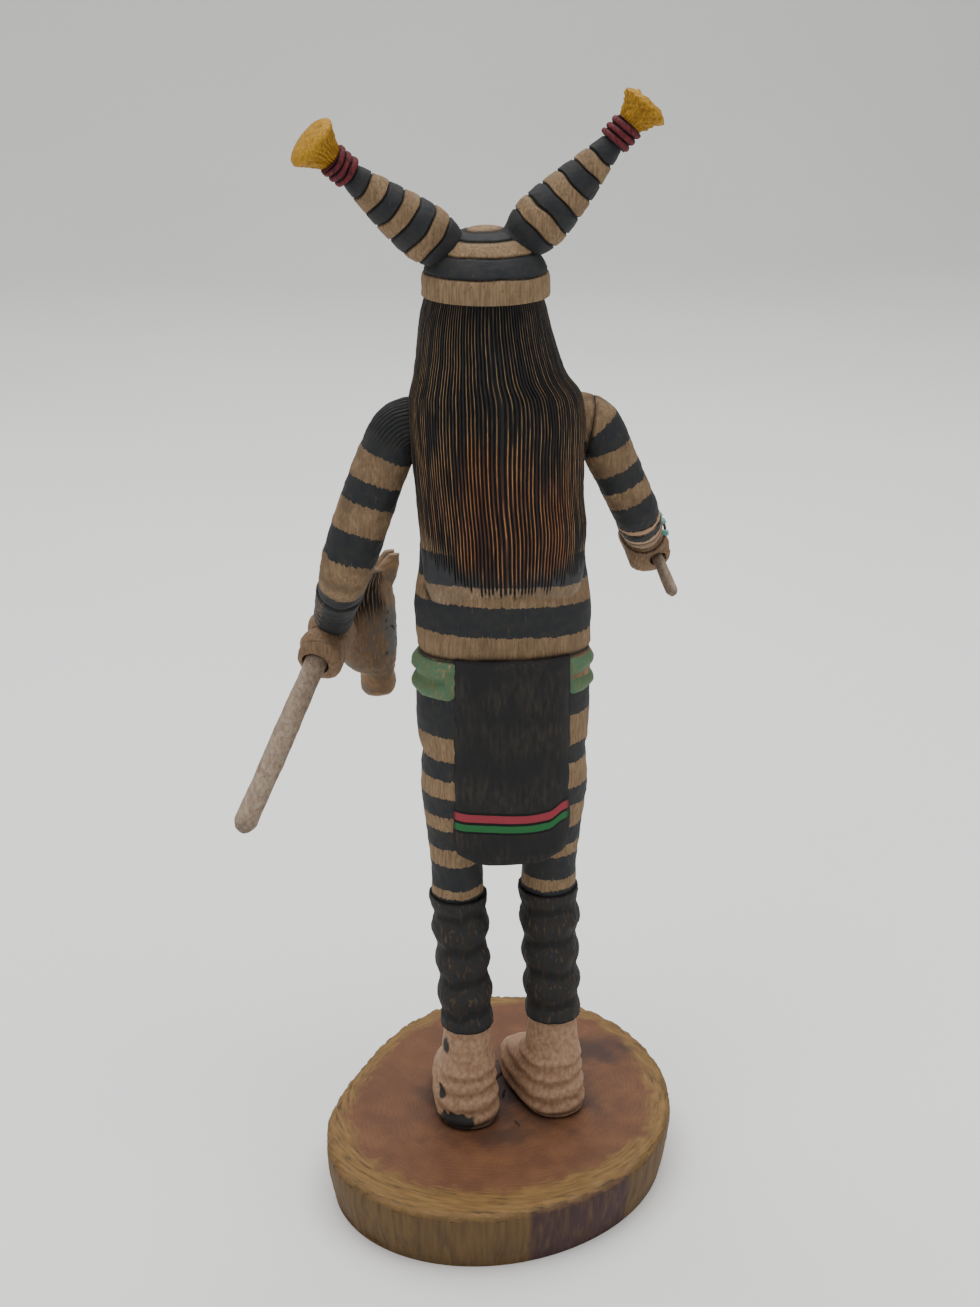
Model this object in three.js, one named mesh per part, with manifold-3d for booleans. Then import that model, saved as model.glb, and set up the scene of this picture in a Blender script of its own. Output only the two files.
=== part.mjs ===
// A carved and painted clown doll with long hair and a striped horned cap, on a slice of trunk.
// Millimetres, +Z up. The doll faces -Y and its left hand is at +X.
// The origin is on the underside of the base, below the middle of the doll.
import * as THREE from 'three';
import { mergeVertices } from 'three/addons/utils/BufferGeometryUtils.js';
import Module from 'manifold-3d';

const wasm = await Module();
wasm.setup();

// Sizes that can be set by themselves.
const BASE_MEAN_DIAMETER = 103;
const BASE_THICKNESS = 17;
const BASE_EDGE_ROUND = 1.8;
const BASE_TAPER = 2.2; // how much narrower the underside is, all round
const FIGURE_HEIGHT = 244.2; // top of the base to the crown of the cap
const GLUE_GAP = 0.3; // between two pieces that touch
const HORN_LENGTH = 30.5; // the striped part
const HORN_ROOT_DIAMETER = 10.8;
const HORN_BELLY_DIAMETER = 14.2;
const HORN_TIP_DIAMETER = 5.6;
const HORN_RINGS = 7;
const RING_GROOVE = 0.5;
const BINDING_LENGTH = 5.8;
const BINDING_DIAMETER = 8;
const BINDING_TURNS = 3;
const TASSEL_LENGTH = 7.4;
const TASSEL_NECK_DIAMETER = 6.6;
const TASSEL_DIAMETER = 14;
const POLE_DIAMETER = 6; // the pole of the stick horse
const POLE_BEHIND_FIST = 64;
const NECK_STANDOFF = 9.6; // from the left fist to the front end of the pole, inside the horse's neck
const SWITCH_DIAMETER = 3.2; // the short stick in the right hand
const SWITCH_BEHIND_FIST = 18.5;
const SWITCH_AHEAD_OF_FIST = 20;
const GRIP_CLEARANCE = 0.8; // round a stick in a fist
const SOCKET_CLEARANCE = 0.3; // round the pole in the horse's neck
const BEAD_COUNT = 12; // right round, if the thong were full
const BEAD_SIZE = 1.9;
const BRACELET_CLEARANCE = 0.4;

// The figure is a free form: it is drawn at one height and grows with FIGURE_HEIGHT.
const DRAWN_HEIGHT = 244.2;
const grow = FIGURE_HEIGHT / DRAWN_HEIGHT;
const soleHeight = BASE_THICKNESS + GLUE_GAP;
const TURN = 2 * Math.PI;

const onFigure = (x, y, z) => new THREE.Vector3(x * grow, y * grow, z * grow + soleHeight);

// Closed meshes.

// The signed volume tells which way the faces point.
function signedVolume(positions, index) {
  let sum = 0;
  const corner = [new THREE.Vector3(), new THREE.Vector3(), new THREE.Vector3()];
  for (let face = 0; face < index.length; face += 3) {
    corner.forEach((point, k) => point.fromArray(positions, index[face + k] * 3));
    sum += corner[0].dot(corner[1].cross(corner[2]));
  }
  return sum / 6;
}

// A skin over rings of equally many points, closed at both ends by a fan round the ring's middle.
function skinOver(rings) {
  const count = rings[0].length;
  const points = rings.flat();
  const index = [];
  for (let row = 0; row + 1 < rings.length; row++) {
    for (let i = 0; i < count; i++) {
      const next = (i + 1) % count;
      const [a, b] = [row * count + i, row * count + next];
      index.push(a, b, b + count, a, b + count, a + count);
    }
  }
  for (const [row, flip] of [[0, true], [rings.length - 1, false]]) {
    const middle = new THREE.Vector3();
    rings[row].forEach((point) => middle.add(point));
    points.push(middle.divideScalar(count));
    for (let i = 0; i < count; i++) {
      const edge = [row * count + i, row * count + ((i + 1) % count)];
      index.push(points.length - 1, ...(flip ? edge.reverse() : edge));
    }
  }
  const positions = points.flatMap((point) => point.toArray());
  if (signedVolume(positions, index) < 0) index.reverse();
  const geometry = new THREE.BufferGeometry();
  geometry.setAttribute('position', new THREE.Float32BufferAttribute(positions, 3));
  geometry.setIndex(index);
  return geometry;
}

// A rounded section square to a line. Its depth behind the middle may differ from its depth in front.
function section(middle, along, across, size, { sides, power, relief }, share) {
  const u = across.clone().addScaledVector(along, -across.dot(along)).normalize();
  const v = along.clone().cross(u);
  return Array.from({ length: sides }, (_, i) => {
    const angle = (TURN * i) / sides;
    const [c, s] = [Math.cos(angle), Math.sin(angle)];
    const bend = 2 / power;
    const extra = relief(share, angle) * grow;
    const reachU = Math.sign(c) * Math.abs(c) ** bend * size.x + c * extra;
    const reachV = Math.sign(s) * Math.abs(s) ** bend * (s > 0 ? size.y : size.z) + s * extra;
    return middle.clone().addScaledVector(u, reachU).addScaledVector(v, reachV);
  });
}

// A carved length. Each station is [x, y, z, half width, half depth behind, half depth in front],
// on the figure as drawn. Level sections lie flat, and the others stand square to the line.
function carve(stations, options = {}) {
  const set = { sides: 20, rows: stations.length, power: 2, relief: () => 0, level: false, ...options };
  const across = new THREE.Vector3(...(set.across ?? [1, 0, 0]));
  const line = new THREE.CatmullRomCurve3(stations.map(([x, y, z]) => onFigure(x, y, z)));
  const sizes = stations.map(([, , , wide, behind, front]) => new THREE.Vector3(wide, behind, front));
  const spread = new THREE.CatmullRomCurve3(sizes);
  const up = new THREE.Vector3(0, 0, stations.at(-1)[2] > stations[0][2] ? 1 : -1);
  return skinOver(Array.from({ length: set.rows }, (_, row) => {
    const share = row / (set.rows - 1);
    const along = set.level ? up : line.getTangent(share);
    const size = spread.getPoint(share).multiplyScalar(grow);
    return section(line.getPoint(share), along, across, size, set, share);
  }));
}

// A round form whose profile is [distance along the axis, radius], on an axis that may bend.
function turned(profile, axis, sides) {
  const length = axis.getLength();
  const across = new THREE.Vector3(0, 1, 0);
  const plain = { sides, power: 2, relief: () => 0 };
  return skinOver(profile.map(([distance, radius]) => {
    const share = THREE.MathUtils.clamp(distance / length, 0, 1);
    const size = new THREE.Vector3(radius, radius, radius);
    return section(axis.getPointAt(share), axis.getTangentAt(share), across, size, plain, share);
  }));
}

// Joining and cutting.

function solid(geometry) {
  const bare = geometry.clone();
  bare.deleteAttribute('normal');
  bare.deleteAttribute('uv');
  const merged = mergeVertices(bare, 1e-4);
  return new wasm.Manifold(new wasm.Mesh({
    numProp: 3,
    vertProperties: new Float32Array(merged.attributes.position.array),
    triVerts: new Uint32Array(merged.index.array),
  }));
}

const joined = (geometries) => geometries.map(solid).reduce((whole, part) => whole.add(part));

function asGeometry(body) {
  const mesh = body.getMesh();
  const geometry = new THREE.BufferGeometry();
  geometry.setAttribute('position', new THREE.BufferAttribute(mesh.vertProperties, 3));
  geometry.setIndex(new THREE.BufferAttribute(mesh.triVerts, 1));
  return geometry;
}

// A straight bar between two points, for a stick or for the hole that it goes through.
function bar(from, to, diameter, sides, roundEnd = 0) {
  const length = from.distanceTo(to);
  const radius = diameter / 2;
  const profile = [
    [0, radius - roundEnd],
    [roundEnd, radius],
    [length - roundEnd, radius],
    [length, radius - roundEnd],
  ];
  return turned(roundEnd > 0 ? profile : profile.slice(1, 3), new THREE.LineCurve3(from, to), sides);
}

// Everything beyond a plane, as a large block.
function beyond(point, normal, gap) {
  const reach = 140 * grow;
  const block = new THREE.BoxGeometry(reach, reach, reach);
  block.translate(0, 0, reach / 2 + gap);
  block.applyQuaternion(new THREE.Quaternion().setFromUnitVectors(new THREE.Vector3(0, 0, 1), normal));
  return solid(block.translate(point.x, point.y, point.z));
}

// The base: a slice of trunk, which is not round. Each wave is [waves round the rim, share, direction].
const RIM_WAVES = [[1, 0.033, 112], [2, 0.105, 128], [3, 0.03, 96]];
const RIM_SIDES = 44;

function baseRing(height, inset) {
  return Array.from({ length: RIM_SIDES }, (_, i) => {
    const angle = (TURN * i) / RIM_SIDES;
    const swell = RIM_WAVES.reduce((sum, [waves, share, direction]) => (
      sum + share * Math.cos(waves * angle - THREE.MathUtils.degToRad(direction))), 1);
    const radius = (BASE_MEAN_DIAMETER / 2) * swell - inset;
    return new THREE.Vector3(radius * Math.cos(angle), radius * Math.sin(angle), height);
  });
}

function makeBase() {
  return skinOver([
    baseRing(0, BASE_TAPER),
    baseRing(BASE_THICKNESS - BASE_EDGE_ROUND, 0),
    baseRing(BASE_THICKNESS, BASE_EDGE_ROUND),
  ]);
}

// The body.

const TORSO = [
  [-0.9, 0.5, 105, 19.4, 12.2, 12],
  [-0.9, 0.5, 112, 22.4, 13.2, 13],
  [-0.8, 0.3, 121, 22.8, 13.6, 13.4],
  [-1.1, 0, 138, 22.5, 13, 14],
  [-0.8, -0.6, 148, 22.9, 12.8, 14.6],
  [-0.8, -1.4, 158, 21.6, 12.4, 14.6],
  [-0.4, -2.2, 168, 20.6, 12, 14.2],
  [0.3, -3, 178, 20.6, 11.6, 14],
  [0.8, -3.8, 187, 21.4, 11, 13],
  [1.2, -4.4, 195, 20.4, 9.4, 11],
  [2, -4.8, 201, 12, 7.2, 8.4],
  [3, -5, 207, 7.6, 6.4, 6.6],
];

const BELT_BOTTOM = 125;
const BELT_TOP = 136.4;
const BELT_ROLL = 0.75;

function makeBelt() {
  const middle = (BELT_BOTTOM + BELT_TOP) / 2;
  const rolls = (share) => BELT_ROLL * Math.cos(2 * TURN * share);
  return carve([
    [-0.7, 0.2, BELT_BOTTOM, 23, 13.9, 14.2],
    [-0.7, 0.2, middle, 23.2, 14.1, 14.4],
    [-0.7, 0.2, BELT_TOP, 23, 13.9, 14.4],
  ], { sides: 20, rows: 7, power: 2.2, level: true, relief: (share) => rolls(share - 0.25) });
}

// The breechcloth hangs in a flap behind and another in front, down from the belt.
const FLAP_PROUD = 1.3;

function makeFlapBehind() {
  return carve([
    [-1.7, 4, 79, 10.8, 8.4, 2],
    [-2, 4, 81.5, 15, 8.7, 2],
    [-2, 4, 88, 16.2, 9.1, 2],
    [-1.9, 3, 104, 16.3, 11 + FLAP_PROUD, 2],
    [-1.8, 2, 122, 16.2, 12.6 + FLAP_PROUD, 2],
    [-1.8, 2, 135, 16.1, 12.6 + FLAP_PROUD, 2],
    [-1.8, 2, 137, 16, 11.8 + FLAP_PROUD, 2],
  ], { sides: 20, power: 3.4, level: true });
}

function makeFlapInFront() {
  return carve([
    [-1.2, -4, 84, 10.8, 2, 7.4],
    [-1.2, -4, 86, 11.6, 2, 8.2],
    [-1.2, -3, 104, 12, 2, 10.6 + FLAP_PROUD],
    [-1.1, -2, 122, 12, 2, 12.2 + FLAP_PROUD],
    [-1, -2, 136, 12, 2, 12.2 + FLAP_PROUD],
  ], { sides: 20, power: 3.4, level: true });
}

// Where the ankle, knee and hip of each leg are, how thick it is, and where its toe points.
const LEGS = {
  left: { ankle: [9.7, 7.6], knee: [11.4, 1], hip: 10.6, thick: 7, toe: [0.1, -1] },
  right: { ankle: [-14.5, 4.4], knee: [-13.5, -1], hip: -12.4, thick: 7.4, toe: [0.4, -0.92] },
};
const ANKLE = 29.2;
const KNEE = 66;
const CROTCH = 84;

function makeThigh({ knee, hip, thick }) {
  const [x, y] = knee;
  const outward = Math.sign(x);
  return carve([
    [x, y, KNEE - 4, thick, thick, thick + 0.4],
    [x + outward * 0.2, y * 0.8, KNEE + 8, thick, thick + 0.4, thick + 0.6],
    [x + outward * 0.3, y * 0.6, CROTCH + 4, thick + 1.3, thick + 2, thick + 1.8],
    [(x + hip) / 2, 0.4, CROTCH + 16, thick + 3, thick + 4, thick + 3.6],
    [hip, 0.4, CROTCH + 28, thick + 2.7, thick + 4.1, thick + 4.1],
    [hip, 0.4, CROTCH + 34, thick, thick + 1, thick + 1],
  ], { sides: 14, level: true });
}

const LEGGING_RIDGES = 4;
const LEGGING_RIDGE = 0.55;
const LEGGING_SLOPE = 0.35;

function makeLegging({ ankle, knee, thick }) {
  const wide = thick + 0.6;
  const fade = (share) => Math.min(1, 8 * share, 8 * (1 - share));
  const ridges = (share, angle) => (
    LEGGING_RIDGE * fade(share) * Math.cos(TURN * LEGGING_RIDGES * share + LEGGING_SLOPE * Math.cos(angle)));
  return carve([
    [...ankle, ANKLE, wide - 0.4, wide - 0.4, wide - 0.4],
    [(ankle[0] + knee[0]) / 2, (ankle[1] + knee[1]) / 2, (ANKLE + KNEE) / 2, wide - 0.5, wide, wide],
    [...knee, KNEE, wide + 0.2, wide + 0.4, wide + 0.6],
  ], { sides: 12, rows: 13, level: true, relief: ridges });
}

const MOCCASIN_FOLDS = 5;
const MOCCASIN_FOLD = 0.28;

function makeMoccasin({ ankle, toe }) {
  const [x, y] = ankle;
  const foot = [
    [0, 7.6, 9, 23],
    [1.5, 8.4, 9.6, 24.6],
    [4.5, 8.6, 9.6, 25],
    [8, 8.3, 9, 23.6],
    [11.5, 7.9, 8.4, 19],
    [14.5, 7.7, 8.2, 12.6],
    [18, 7.4, 7.8, 9],
    [ANKLE + 1.6, 7, 7.4, 7.4],
  ];
  const folds = (share, angle) => (
    MOCCASIN_FOLD * Math.cos(TURN * MOCCASIN_FOLDS * share + Math.cos(angle)));
  return carve(foot.map(([z, wide, heel, front]) => [x, y, z, wide, heel, front]), {
    sides: 14, rows: 8, power: 2.15, level: true, across: [-toe[1], toe[0], 0],
    relief: (share, angle) => (share > 0 ? folds(share, angle) : 0),
  });
}

// The head, the face and the cap.

const HEAD_X = 3.3;
const HEAD_Y = -3;
const CAP_RIM = 227.6;
const CAP_BANDS = [CAP_RIM, 233.6, 238.2, 241.6, 243.4, DRAWN_HEIGHT]; // heights of the burned lines
const CAP_RADIUS = 15.9;
const CAP_LINE = 0.35; // depth of a burned line

// The cap's outside radius at a height, fuller than a ball near its rim.
function capRadius(z) {
  const share = THREE.MathUtils.clamp((z - CAP_RIM) / (DRAWN_HEIGHT - CAP_RIM), 0, 1);
  return CAP_RADIUS * Math.sqrt(1 - share ** 2.3) * (1 - 0.012 * Math.cos(share * 9));
}

function makeCap(swell = 0) {
  const profile = [[0, CAP_RIM - swell], [CAP_RADIUS - 1 + swell, CAP_RIM - swell]];
  for (let band = 0; band + 1 < CAP_BANDS.length; band++) {
    const [low, high] = [CAP_BANDS[band], CAP_BANDS[band + 1]];
    for (const [share, depth] of [[0, CAP_LINE], [0.2, 0], [0.86, 0]]) {
      const z = low + share * (high - low);
      profile.push([capRadius(z) - depth * (swell > 0 ? 0 : 1) + swell, z + swell * share]);
    }
  }
  profile.push([0, DRAWN_HEIGHT + swell]);
  const points = profile.map(([radius, z]) => new THREE.Vector2(radius * grow, z * grow));
  const cap = new THREE.LatheGeometry(points, 18).rotateX(Math.PI / 2);
  return cap.translate(HEAD_X * grow, HEAD_Y * grow, soleHeight);
}

function makeHead() {
  return carve([
    [HEAD_X, HEAD_Y - 1.5, 201, 5, 5, 6],
    [HEAD_X, HEAD_Y - 1.5, 204, 9.4, 9, 11.4],
    [HEAD_X, HEAD_Y - 1, 210, 12.6, 12, 14.2],
    [HEAD_X, HEAD_Y - 0.5, 218, 13.8, 13, 14.8],
    [HEAD_X, HEAD_Y, 226, 14, 13.4, 14],
    [HEAD_X, HEAD_Y, 231, 13.6, 13, 13.4],
  ], { sides: 18, rows: 7, level: true });
}

// A calm doll's face: a small straight nose, round rims for the eyes and a narrow mouth.
function makeFace() {
  const front = HEAD_Y - 14.6;
  const nose = carve([
    [HEAD_X, front + 2.4, 222, 1, 1, 0.8],
    [HEAD_X, front + 1, 217, 1.5, 2, 1.5],
    [HEAD_X, front + 0.6, 213.4, 2.2, 2, 2.2],
    [HEAD_X, front + 1.6, 212, 1.6, 1.4, 1],
  ], { sides: 10, level: true });
  const rim = (x, z, wide, tall) => {
    const ball = new THREE.SphereGeometry(grow, 8, 5);
    ball.scale(wide, 1.5, tall);
    const middle = onFigure(x, front + 1.4 + 0.034 * (x - HEAD_X) ** 2, z);
    return ball.translate(middle.x, middle.y, middle.z);
  };
  const eyes = [-5, 5].map((aside) => rim(HEAD_X + aside, 218.4, 2.4, 1.7));
  return [nose, ...eyes, rim(HEAD_X, 208.4, 3.2, 1.3)];
}

// Long hair from under the cap, over both shoulders and down the back, cut in fine locks.
const HAIR_LOCKS = 22;
const LOCK_DEPTH = 0.34;
const HAIR = [
  [-0.4, 5.4, 151, 18.4, 5.2, 4],
  [-0.4, 5.2, 156, 20, 6.9, 4],
  [-0.4, 4.6, 161, 20.6, 8, 5],
  [-0.4, 3.8, 169, 21.2, 8.6, 5],
  [0.3, 2.8, 178, 21.2, 9, 5],
  [0.7, 1.8, 188, 21.6, 9.4, 5],
  [0.8, 0.6, 197, 22, 10, 5],
  [1.2, -0.6, 203, 21.6, 10.6, 5],
  [2.4, -1.6, 208, 19.2, 11.6, 6],
  [3, -2.2, 213, 17.8, 12.6, 6.4],
  [3.6, -2.6, 219, 16.6, 13.4, 6.6],
  [3.8, -3, 224, 15.6, 13.8, 6.6],
  [3.8, -3, 229, 14.2, 13.2, 6.6],
];

function makeHair() {
  const fade = (share) => Math.min(1, 1.2 - share);
  return carve(HAIR, {
    sides: 2 * HAIR_LOCKS, rows: 9, power: 2.25, level: true,
    relief: (share, angle) => LOCK_DEPTH * fade(share) * Math.cos(HAIR_LOCKS * angle),
  });
}

// The arms: upper arm, bent elbow and wrist.

const LEFT_ARM = [
  [17, -4.5, 196, 6.6, 6.6, 6.6],
  [24.6, -4.6, 194, 7, 7, 7],
  [28.6, -4.8, 187, 7, 7, 7],
  [32.2, -4.6, 178, 7.1, 7, 7],
  [35.8, -4.2, 168, 7.2, 7, 7],
  [38.8, -4.8, 158.6, 6.9, 6.8, 6.8],
  [40.4, -10.6, 150.6, 6.1, 6, 6],
  [41.6, -18, 143.4, 5.2, 5.2, 5.2],
  [42.6, -23.4, 137, 4.8, 5.4, 5.4],
];
const RIGHT_ARM = [
  [-16, -4.6, 197, 6, 6.4, 6.4],
  [-24.2, -4.8, 194, 6.6, 6.6, 6.6],
  [-28.2, -5, 186.6, 6.5, 6.4, 6.4],
  [-32, -5.4, 178.6, 6.1, 6.2, 6.2],
  [-35.6, -6.4, 171, 6, 6, 6],
  [-38.2, -11, 164.6, 5.6, 5.6, 5.6],
  [-40.2, -18.4, 161, 4.9, 4.9, 4.9],
  [-41.8, -25.6, 158, 4.4, 4.4, 4.4],
];
const SHOULDER_SEAM = { point: onFigure(-22.9, 0, 193.5), normal: new THREE.Vector3(-0.985, 0, -0.171) };

const makeLeftArm = () => carve(LEFT_ARM, { sides: 12, rows: 11 });
const makeRightArm = () => carve(RIGHT_ARM, { sides: 12, rows: 10 });

// Each fist closes round a stick. The four fingers lie side by side along the stick.
const FISTS = {
  left: {
    grip: onFigure(45.6, -24, 128.8),
    palm: onFigure(44.2, -24.2, 130),
    along: new THREE.Vector3(0.345, 0.838, -0.426).normalize(),
    half: [6.3, 7.6, 7.6],
    length: 15,
  },
  right: {
    grip: onFigure(-45, -29.1, 153.2),
    palm: onFigure(-42.6, -29.2, 154),
    along: new THREE.Vector3(-0.16, 0.868, -0.47).normalize(),
    half: [5.9, 6, 6],
    length: 12.6,
  },
};
const FINGERS = 4;
const KNUCKLE = 0.7;
const THUMB_DIAMETER = 4.4;
const THUMB_GAP = 0.4; // between the thumb and the stick
const THUMB_BEHIND = 5; // along the stick, from the grip to each end of the thumb
const THUMB_AHEAD = 8.4;
const THUMB_DROOP = 2.4;

function makeFist({ palm, along, half, length }, outward) {
  const stations = [-0.5, -0.42, 0, 0.42, 0.5].map((share, i) => {
    const middle = palm.clone().addScaledVector(along, share * length * grow);
    const size = i === 0 || i === 4 ? 0.8 : 1;
    return [middle, new THREE.Vector3(...half).multiplyScalar(size * grow)];
  });
  const line = new THREE.CatmullRomCurve3(stations.map(([middle]) => middle));
  const spread = new THREE.CatmullRomCurve3(stations.map(([, size]) => size));
  const rows = 3 * FINGERS + 1;
  const wrap = (angle) => Math.max(0, outward * Math.cos(angle) + 0.35);
  const relief = (share, angle) => -KNUCKLE * Math.min(1, wrap(angle)) * Math.cos(TURN * FINGERS * share);
  return skinOver(Array.from({ length: rows }, (_, row) => {
    const share = row / (rows - 1);
    const set = { sides: 12, power: 2.2, relief };
    const across = new THREE.Vector3(1, 0, 0);
    return section(line.getPoint(share), along, across, spread.getPoint(share), set, share);
  }));
}

function makeThumb({ grip, along }, diameter, inward) {
  const reach = ((diameter + THUMB_DIAMETER) / 2 + THUMB_GAP) * grow;
  const aside = new THREE.Vector3(inward, 0, 0.35).normalize().multiplyScalar(reach);
  const from = grip.clone().add(aside).addScaledVector(along, THUMB_BEHIND * grow);
  const to = grip.clone().add(aside).addScaledVector(along, -THUMB_AHEAD * grow);
  to.z -= THUMB_DROOP * grow;
  return bar(from, to, THUMB_DIAMETER * grow, 10, (THUMB_DIAMETER / 4) * grow);
}

function gripHole({ grip, along }, stickDiameter) {
  const reach = 20 * grow;
  const from = grip.clone().addScaledVector(along, -reach);
  const to = grip.clone().addScaledVector(along, reach);
  return solid(bar(from, to, stickDiameter + 2 * GRIP_CLEARANCE, 14));
}

// The sticks.

// A stick's ends, from the middle of the fist that holds it.
function stickEnds({ grip, along }, behind, ahead) {
  return [grip.clone().addScaledVector(along, -ahead), grip.clone().addScaledVector(along, behind)];
}
const poleAhead = (FISTS.left.length / 2) * grow + NECK_STANDOFF;
const [poleFront, poleBack] = stickEnds(FISTS.left, POLE_BEHIND_FIST, poleAhead);
const [switchFront, switchBack] = stickEnds(FISTS.right, SWITCH_BEHIND_FIST, SWITCH_AHEAD_OF_FIST);

const makePole = () => bar(poleFront, poleBack, POLE_DIAMETER, 14, POLE_DIAMETER * 0.16);
const makeSwitch = () => bar(switchFront, switchBack, SWITCH_DIAMETER, 10, SWITCH_DIAMETER * 0.3);

// The horse's head on the front end of the pole. It looks forward and to the doll's right.
// Each row is [height, middle along the face, half length, half thickness].
const HORSE_FACING = new THREE.Vector3(-0.94, -0.34, 0).normalize();
const MANE_DEPTH = 0.4;
const MANE_LOCKS = 6;
const HORSE_ROWS = [
  [-28, 10.4, 3.8, 3.4],
  [-26.6, 10.4, 4.8, 4.4],
  [-21.4, 10, 5, 4.8],
  [-19.4, 8.6, 7, 5.4],
  [-13, 7, 8.8, 6.2],
  [-5, 5.6, 10.2, 6.6],
  [2, 5, 10.2, 6.4],
  [6, 6.2, 8, 5.4],
  [9, 8.4, 4.8, 3.8],
];

function makeHorseHead() {
  const side = HORSE_FACING.clone().cross(new THREE.Vector3(0, 0, 1));
  const at = (along, across, z) => poleFront.clone().addScaledVector(HORSE_FACING, along * grow)
    .addScaledVector(side, across * grow).add(new THREE.Vector3(0, 0, z * grow));
  const ring = (middle, long, thick, sides, mane = 0) => Array.from({ length: sides }, (_, i) => {
    const angle = (TURN * i) / sides;
    const lock = -mane * Math.max(0, -Math.cos(angle)) * Math.cos(MANE_LOCKS * angle);
    const across = side.clone().multiplyScalar((thick + lock) * Math.sin(angle) * grow);
    return middle.clone().addScaledVector(HORSE_FACING, (long + lock) * Math.cos(angle) * grow).add(across);
  });
  const head = skinOver(HORSE_ROWS.map(([z, along, long, thick], row) => (
    ring(at(along, 0, z), long, thick, 16, row > 3 ? MANE_DEPTH : 0))));
  const ears = [-1, 1].map((hand) => skinOver([
    ring(at(9.8, hand * 1.5, 3), 4.6, 2.1, 8),
    ring(at(12.8, hand * 1.6, 8.4), 3.7, 1.8, 8),
    ring(at(15.2, hand * 1.7, 12.8), 1.8, 1, 8),
  ]));
  const bottom = poleFront.clone().addScaledVector(FISTS.left.along, -SOCKET_CLEARANCE);
  const socket = bar(bottom, poleBack, POLE_DIAMETER + 2 * SOCKET_CLEARANCE, 14);
  return joined([head, ...ears]).subtract(solid(socket));
}

// The bracelet: a thong with chips of stone, loose round the right wrist.
const BRACELET_SHARE = 0.93; // of the way down the arm
const WRIST_SWELL = 0.5;
const THONG_DIAMETER = 0.9;
const CHIP_LEAN = 0.3;
// Chips sit in front and on the outer side of the wrist. These are shares of the thong's radius.
const CHIPS_FRONT = -0.5;
const CHIPS_OUTER = -0.25;
const CHIPS_BACK = 0.8;

function makeBracelet() {
  const line = new THREE.CatmullRomCurve3(RIGHT_ARM.map(([x, y, z]) => onFigure(x, y, z)));
  const middle = line.getPoint(BRACELET_SHARE);
  const along = line.getTangent(BRACELET_SHARE);
  const wrist = RIGHT_ARM.at(-1)[3] * grow;
  const chipHalf = BEAD_SIZE / 2;
  const radius = wrist + WRIST_SWELL * grow + BRACELET_CLEARANCE + chipHalf;
  const thong = new THREE.TorusGeometry(radius, THONG_DIAMETER / 2, 3, 12);
  const facing = new THREE.Quaternion().setFromUnitVectors(new THREE.Vector3(0, 0, 1), along);
  const strung = (angle) => {
    const { x, y } = new THREE.Vector3(Math.cos(angle), Math.sin(angle), 0).applyQuaternion(facing);
    return y < CHIPS_FRONT || (x < CHIPS_OUTER && y < CHIPS_BACK);
  };
  const places = Array.from({ length: BEAD_COUNT }, (_, i) => (TURN * i) / BEAD_COUNT);
  const chips = places.filter(strung).map((angle, i) => {
    const chip = new THREE.BoxGeometry(BEAD_SIZE * 0.9, BEAD_SIZE * 1.15, BEAD_SIZE);
    chip.rotateY(CHIP_LEAN * Math.sin(5 * i)).rotateX(CHIP_LEAN * Math.cos(3 * i));
    chip.translate(radius, 0, 0).rotateZ(angle);
    return chip;
  });
  return joined([thong, ...chips].map((piece) => (
    piece.applyQuaternion(facing).translate(middle.x, middle.y, middle.z))));
}

// The horns. Both lean outwards, and each is one carving with its red binding and yellow tassel.
// The right horn is longer than the left by the share long, and its tassel is only as large as full.
const HORNS = {
  left: { root: [12.6, -1.5, 238.8], bend: [27, 0.5, 249.8], tip: [38, 3.6, 259.3], long: 1, full: 1 },
  right: {
    root: [-5, -1.5, 240.4], bend: [-19, -1.8, 254.6], tip: [-29.4, -2.2, 265.9], long: 1.05, full: 0.9,
  },
};
const BRUSH_RIM = 0.8; // of the way along a tassel, where it is widest
const BRUSH_ROUND = 1.4;
const HORN_SUNK = 4; // how far the stock of a horn runs on into the cap before it is cut to fit
const HORN_BELLY = 0.24;

function hornRadius(share) {
  const [root, belly, tip] = [HORN_ROOT_DIAMETER, HORN_BELLY_DIAMETER, HORN_TIP_DIAMETER].map((d) => d / 2);
  if (share < HORN_BELLY) return root + (belly - root) * Math.sin((Math.PI / 2) * (share / HORN_BELLY));
  return belly + (tip - belly) * ((share - HORN_BELLY) / (1 - HORN_BELLY)) ** 1.3;
}

function hornProfile(striped, full) {
  const profile = [[0, HORN_ROOT_DIAMETER / 2 - 0.6]];
  const start = HORN_SUNK;
  for (let ring = 0; ring < HORN_RINGS; ring++) {
    for (const [part, depth] of [[0, RING_GROOVE], [0.16, 0], [0.84, 0]]) {
      const share = (ring + part) / HORN_RINGS;
      profile.push([start + share * striped, hornRadius(share) - depth]);
    }
  }
  for (let turn = 0; turn < BINDING_TURNS; turn++) {
    for (const [part, depth] of [[0.05, 0.5], [0.5, 0]]) {
      const along = start + striped + ((turn + part) / BINDING_TURNS) * BINDING_LENGTH;
      profile.push([along, BINDING_DIAMETER / 2 - depth]);
    }
  }
  const neck = start + striped + BINDING_LENGTH;
  const brush = TASSEL_LENGTH * full;
  const rim = (TASSEL_DIAMETER / 2) * full;
  for (const share of [0.04, 0.6, 1]) {
    const radius = THREE.MathUtils.lerp(TASSEL_NECK_DIAMETER / 2, rim, share ** 1.2);
    profile.push([neck + share * BRUSH_RIM * brush, radius]);
  }
  profile.push([neck + 0.95 * brush, rim - BRUSH_ROUND / 3]);
  profile.push([neck + brush, rim - BRUSH_ROUND]);
  return profile;
}

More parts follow.
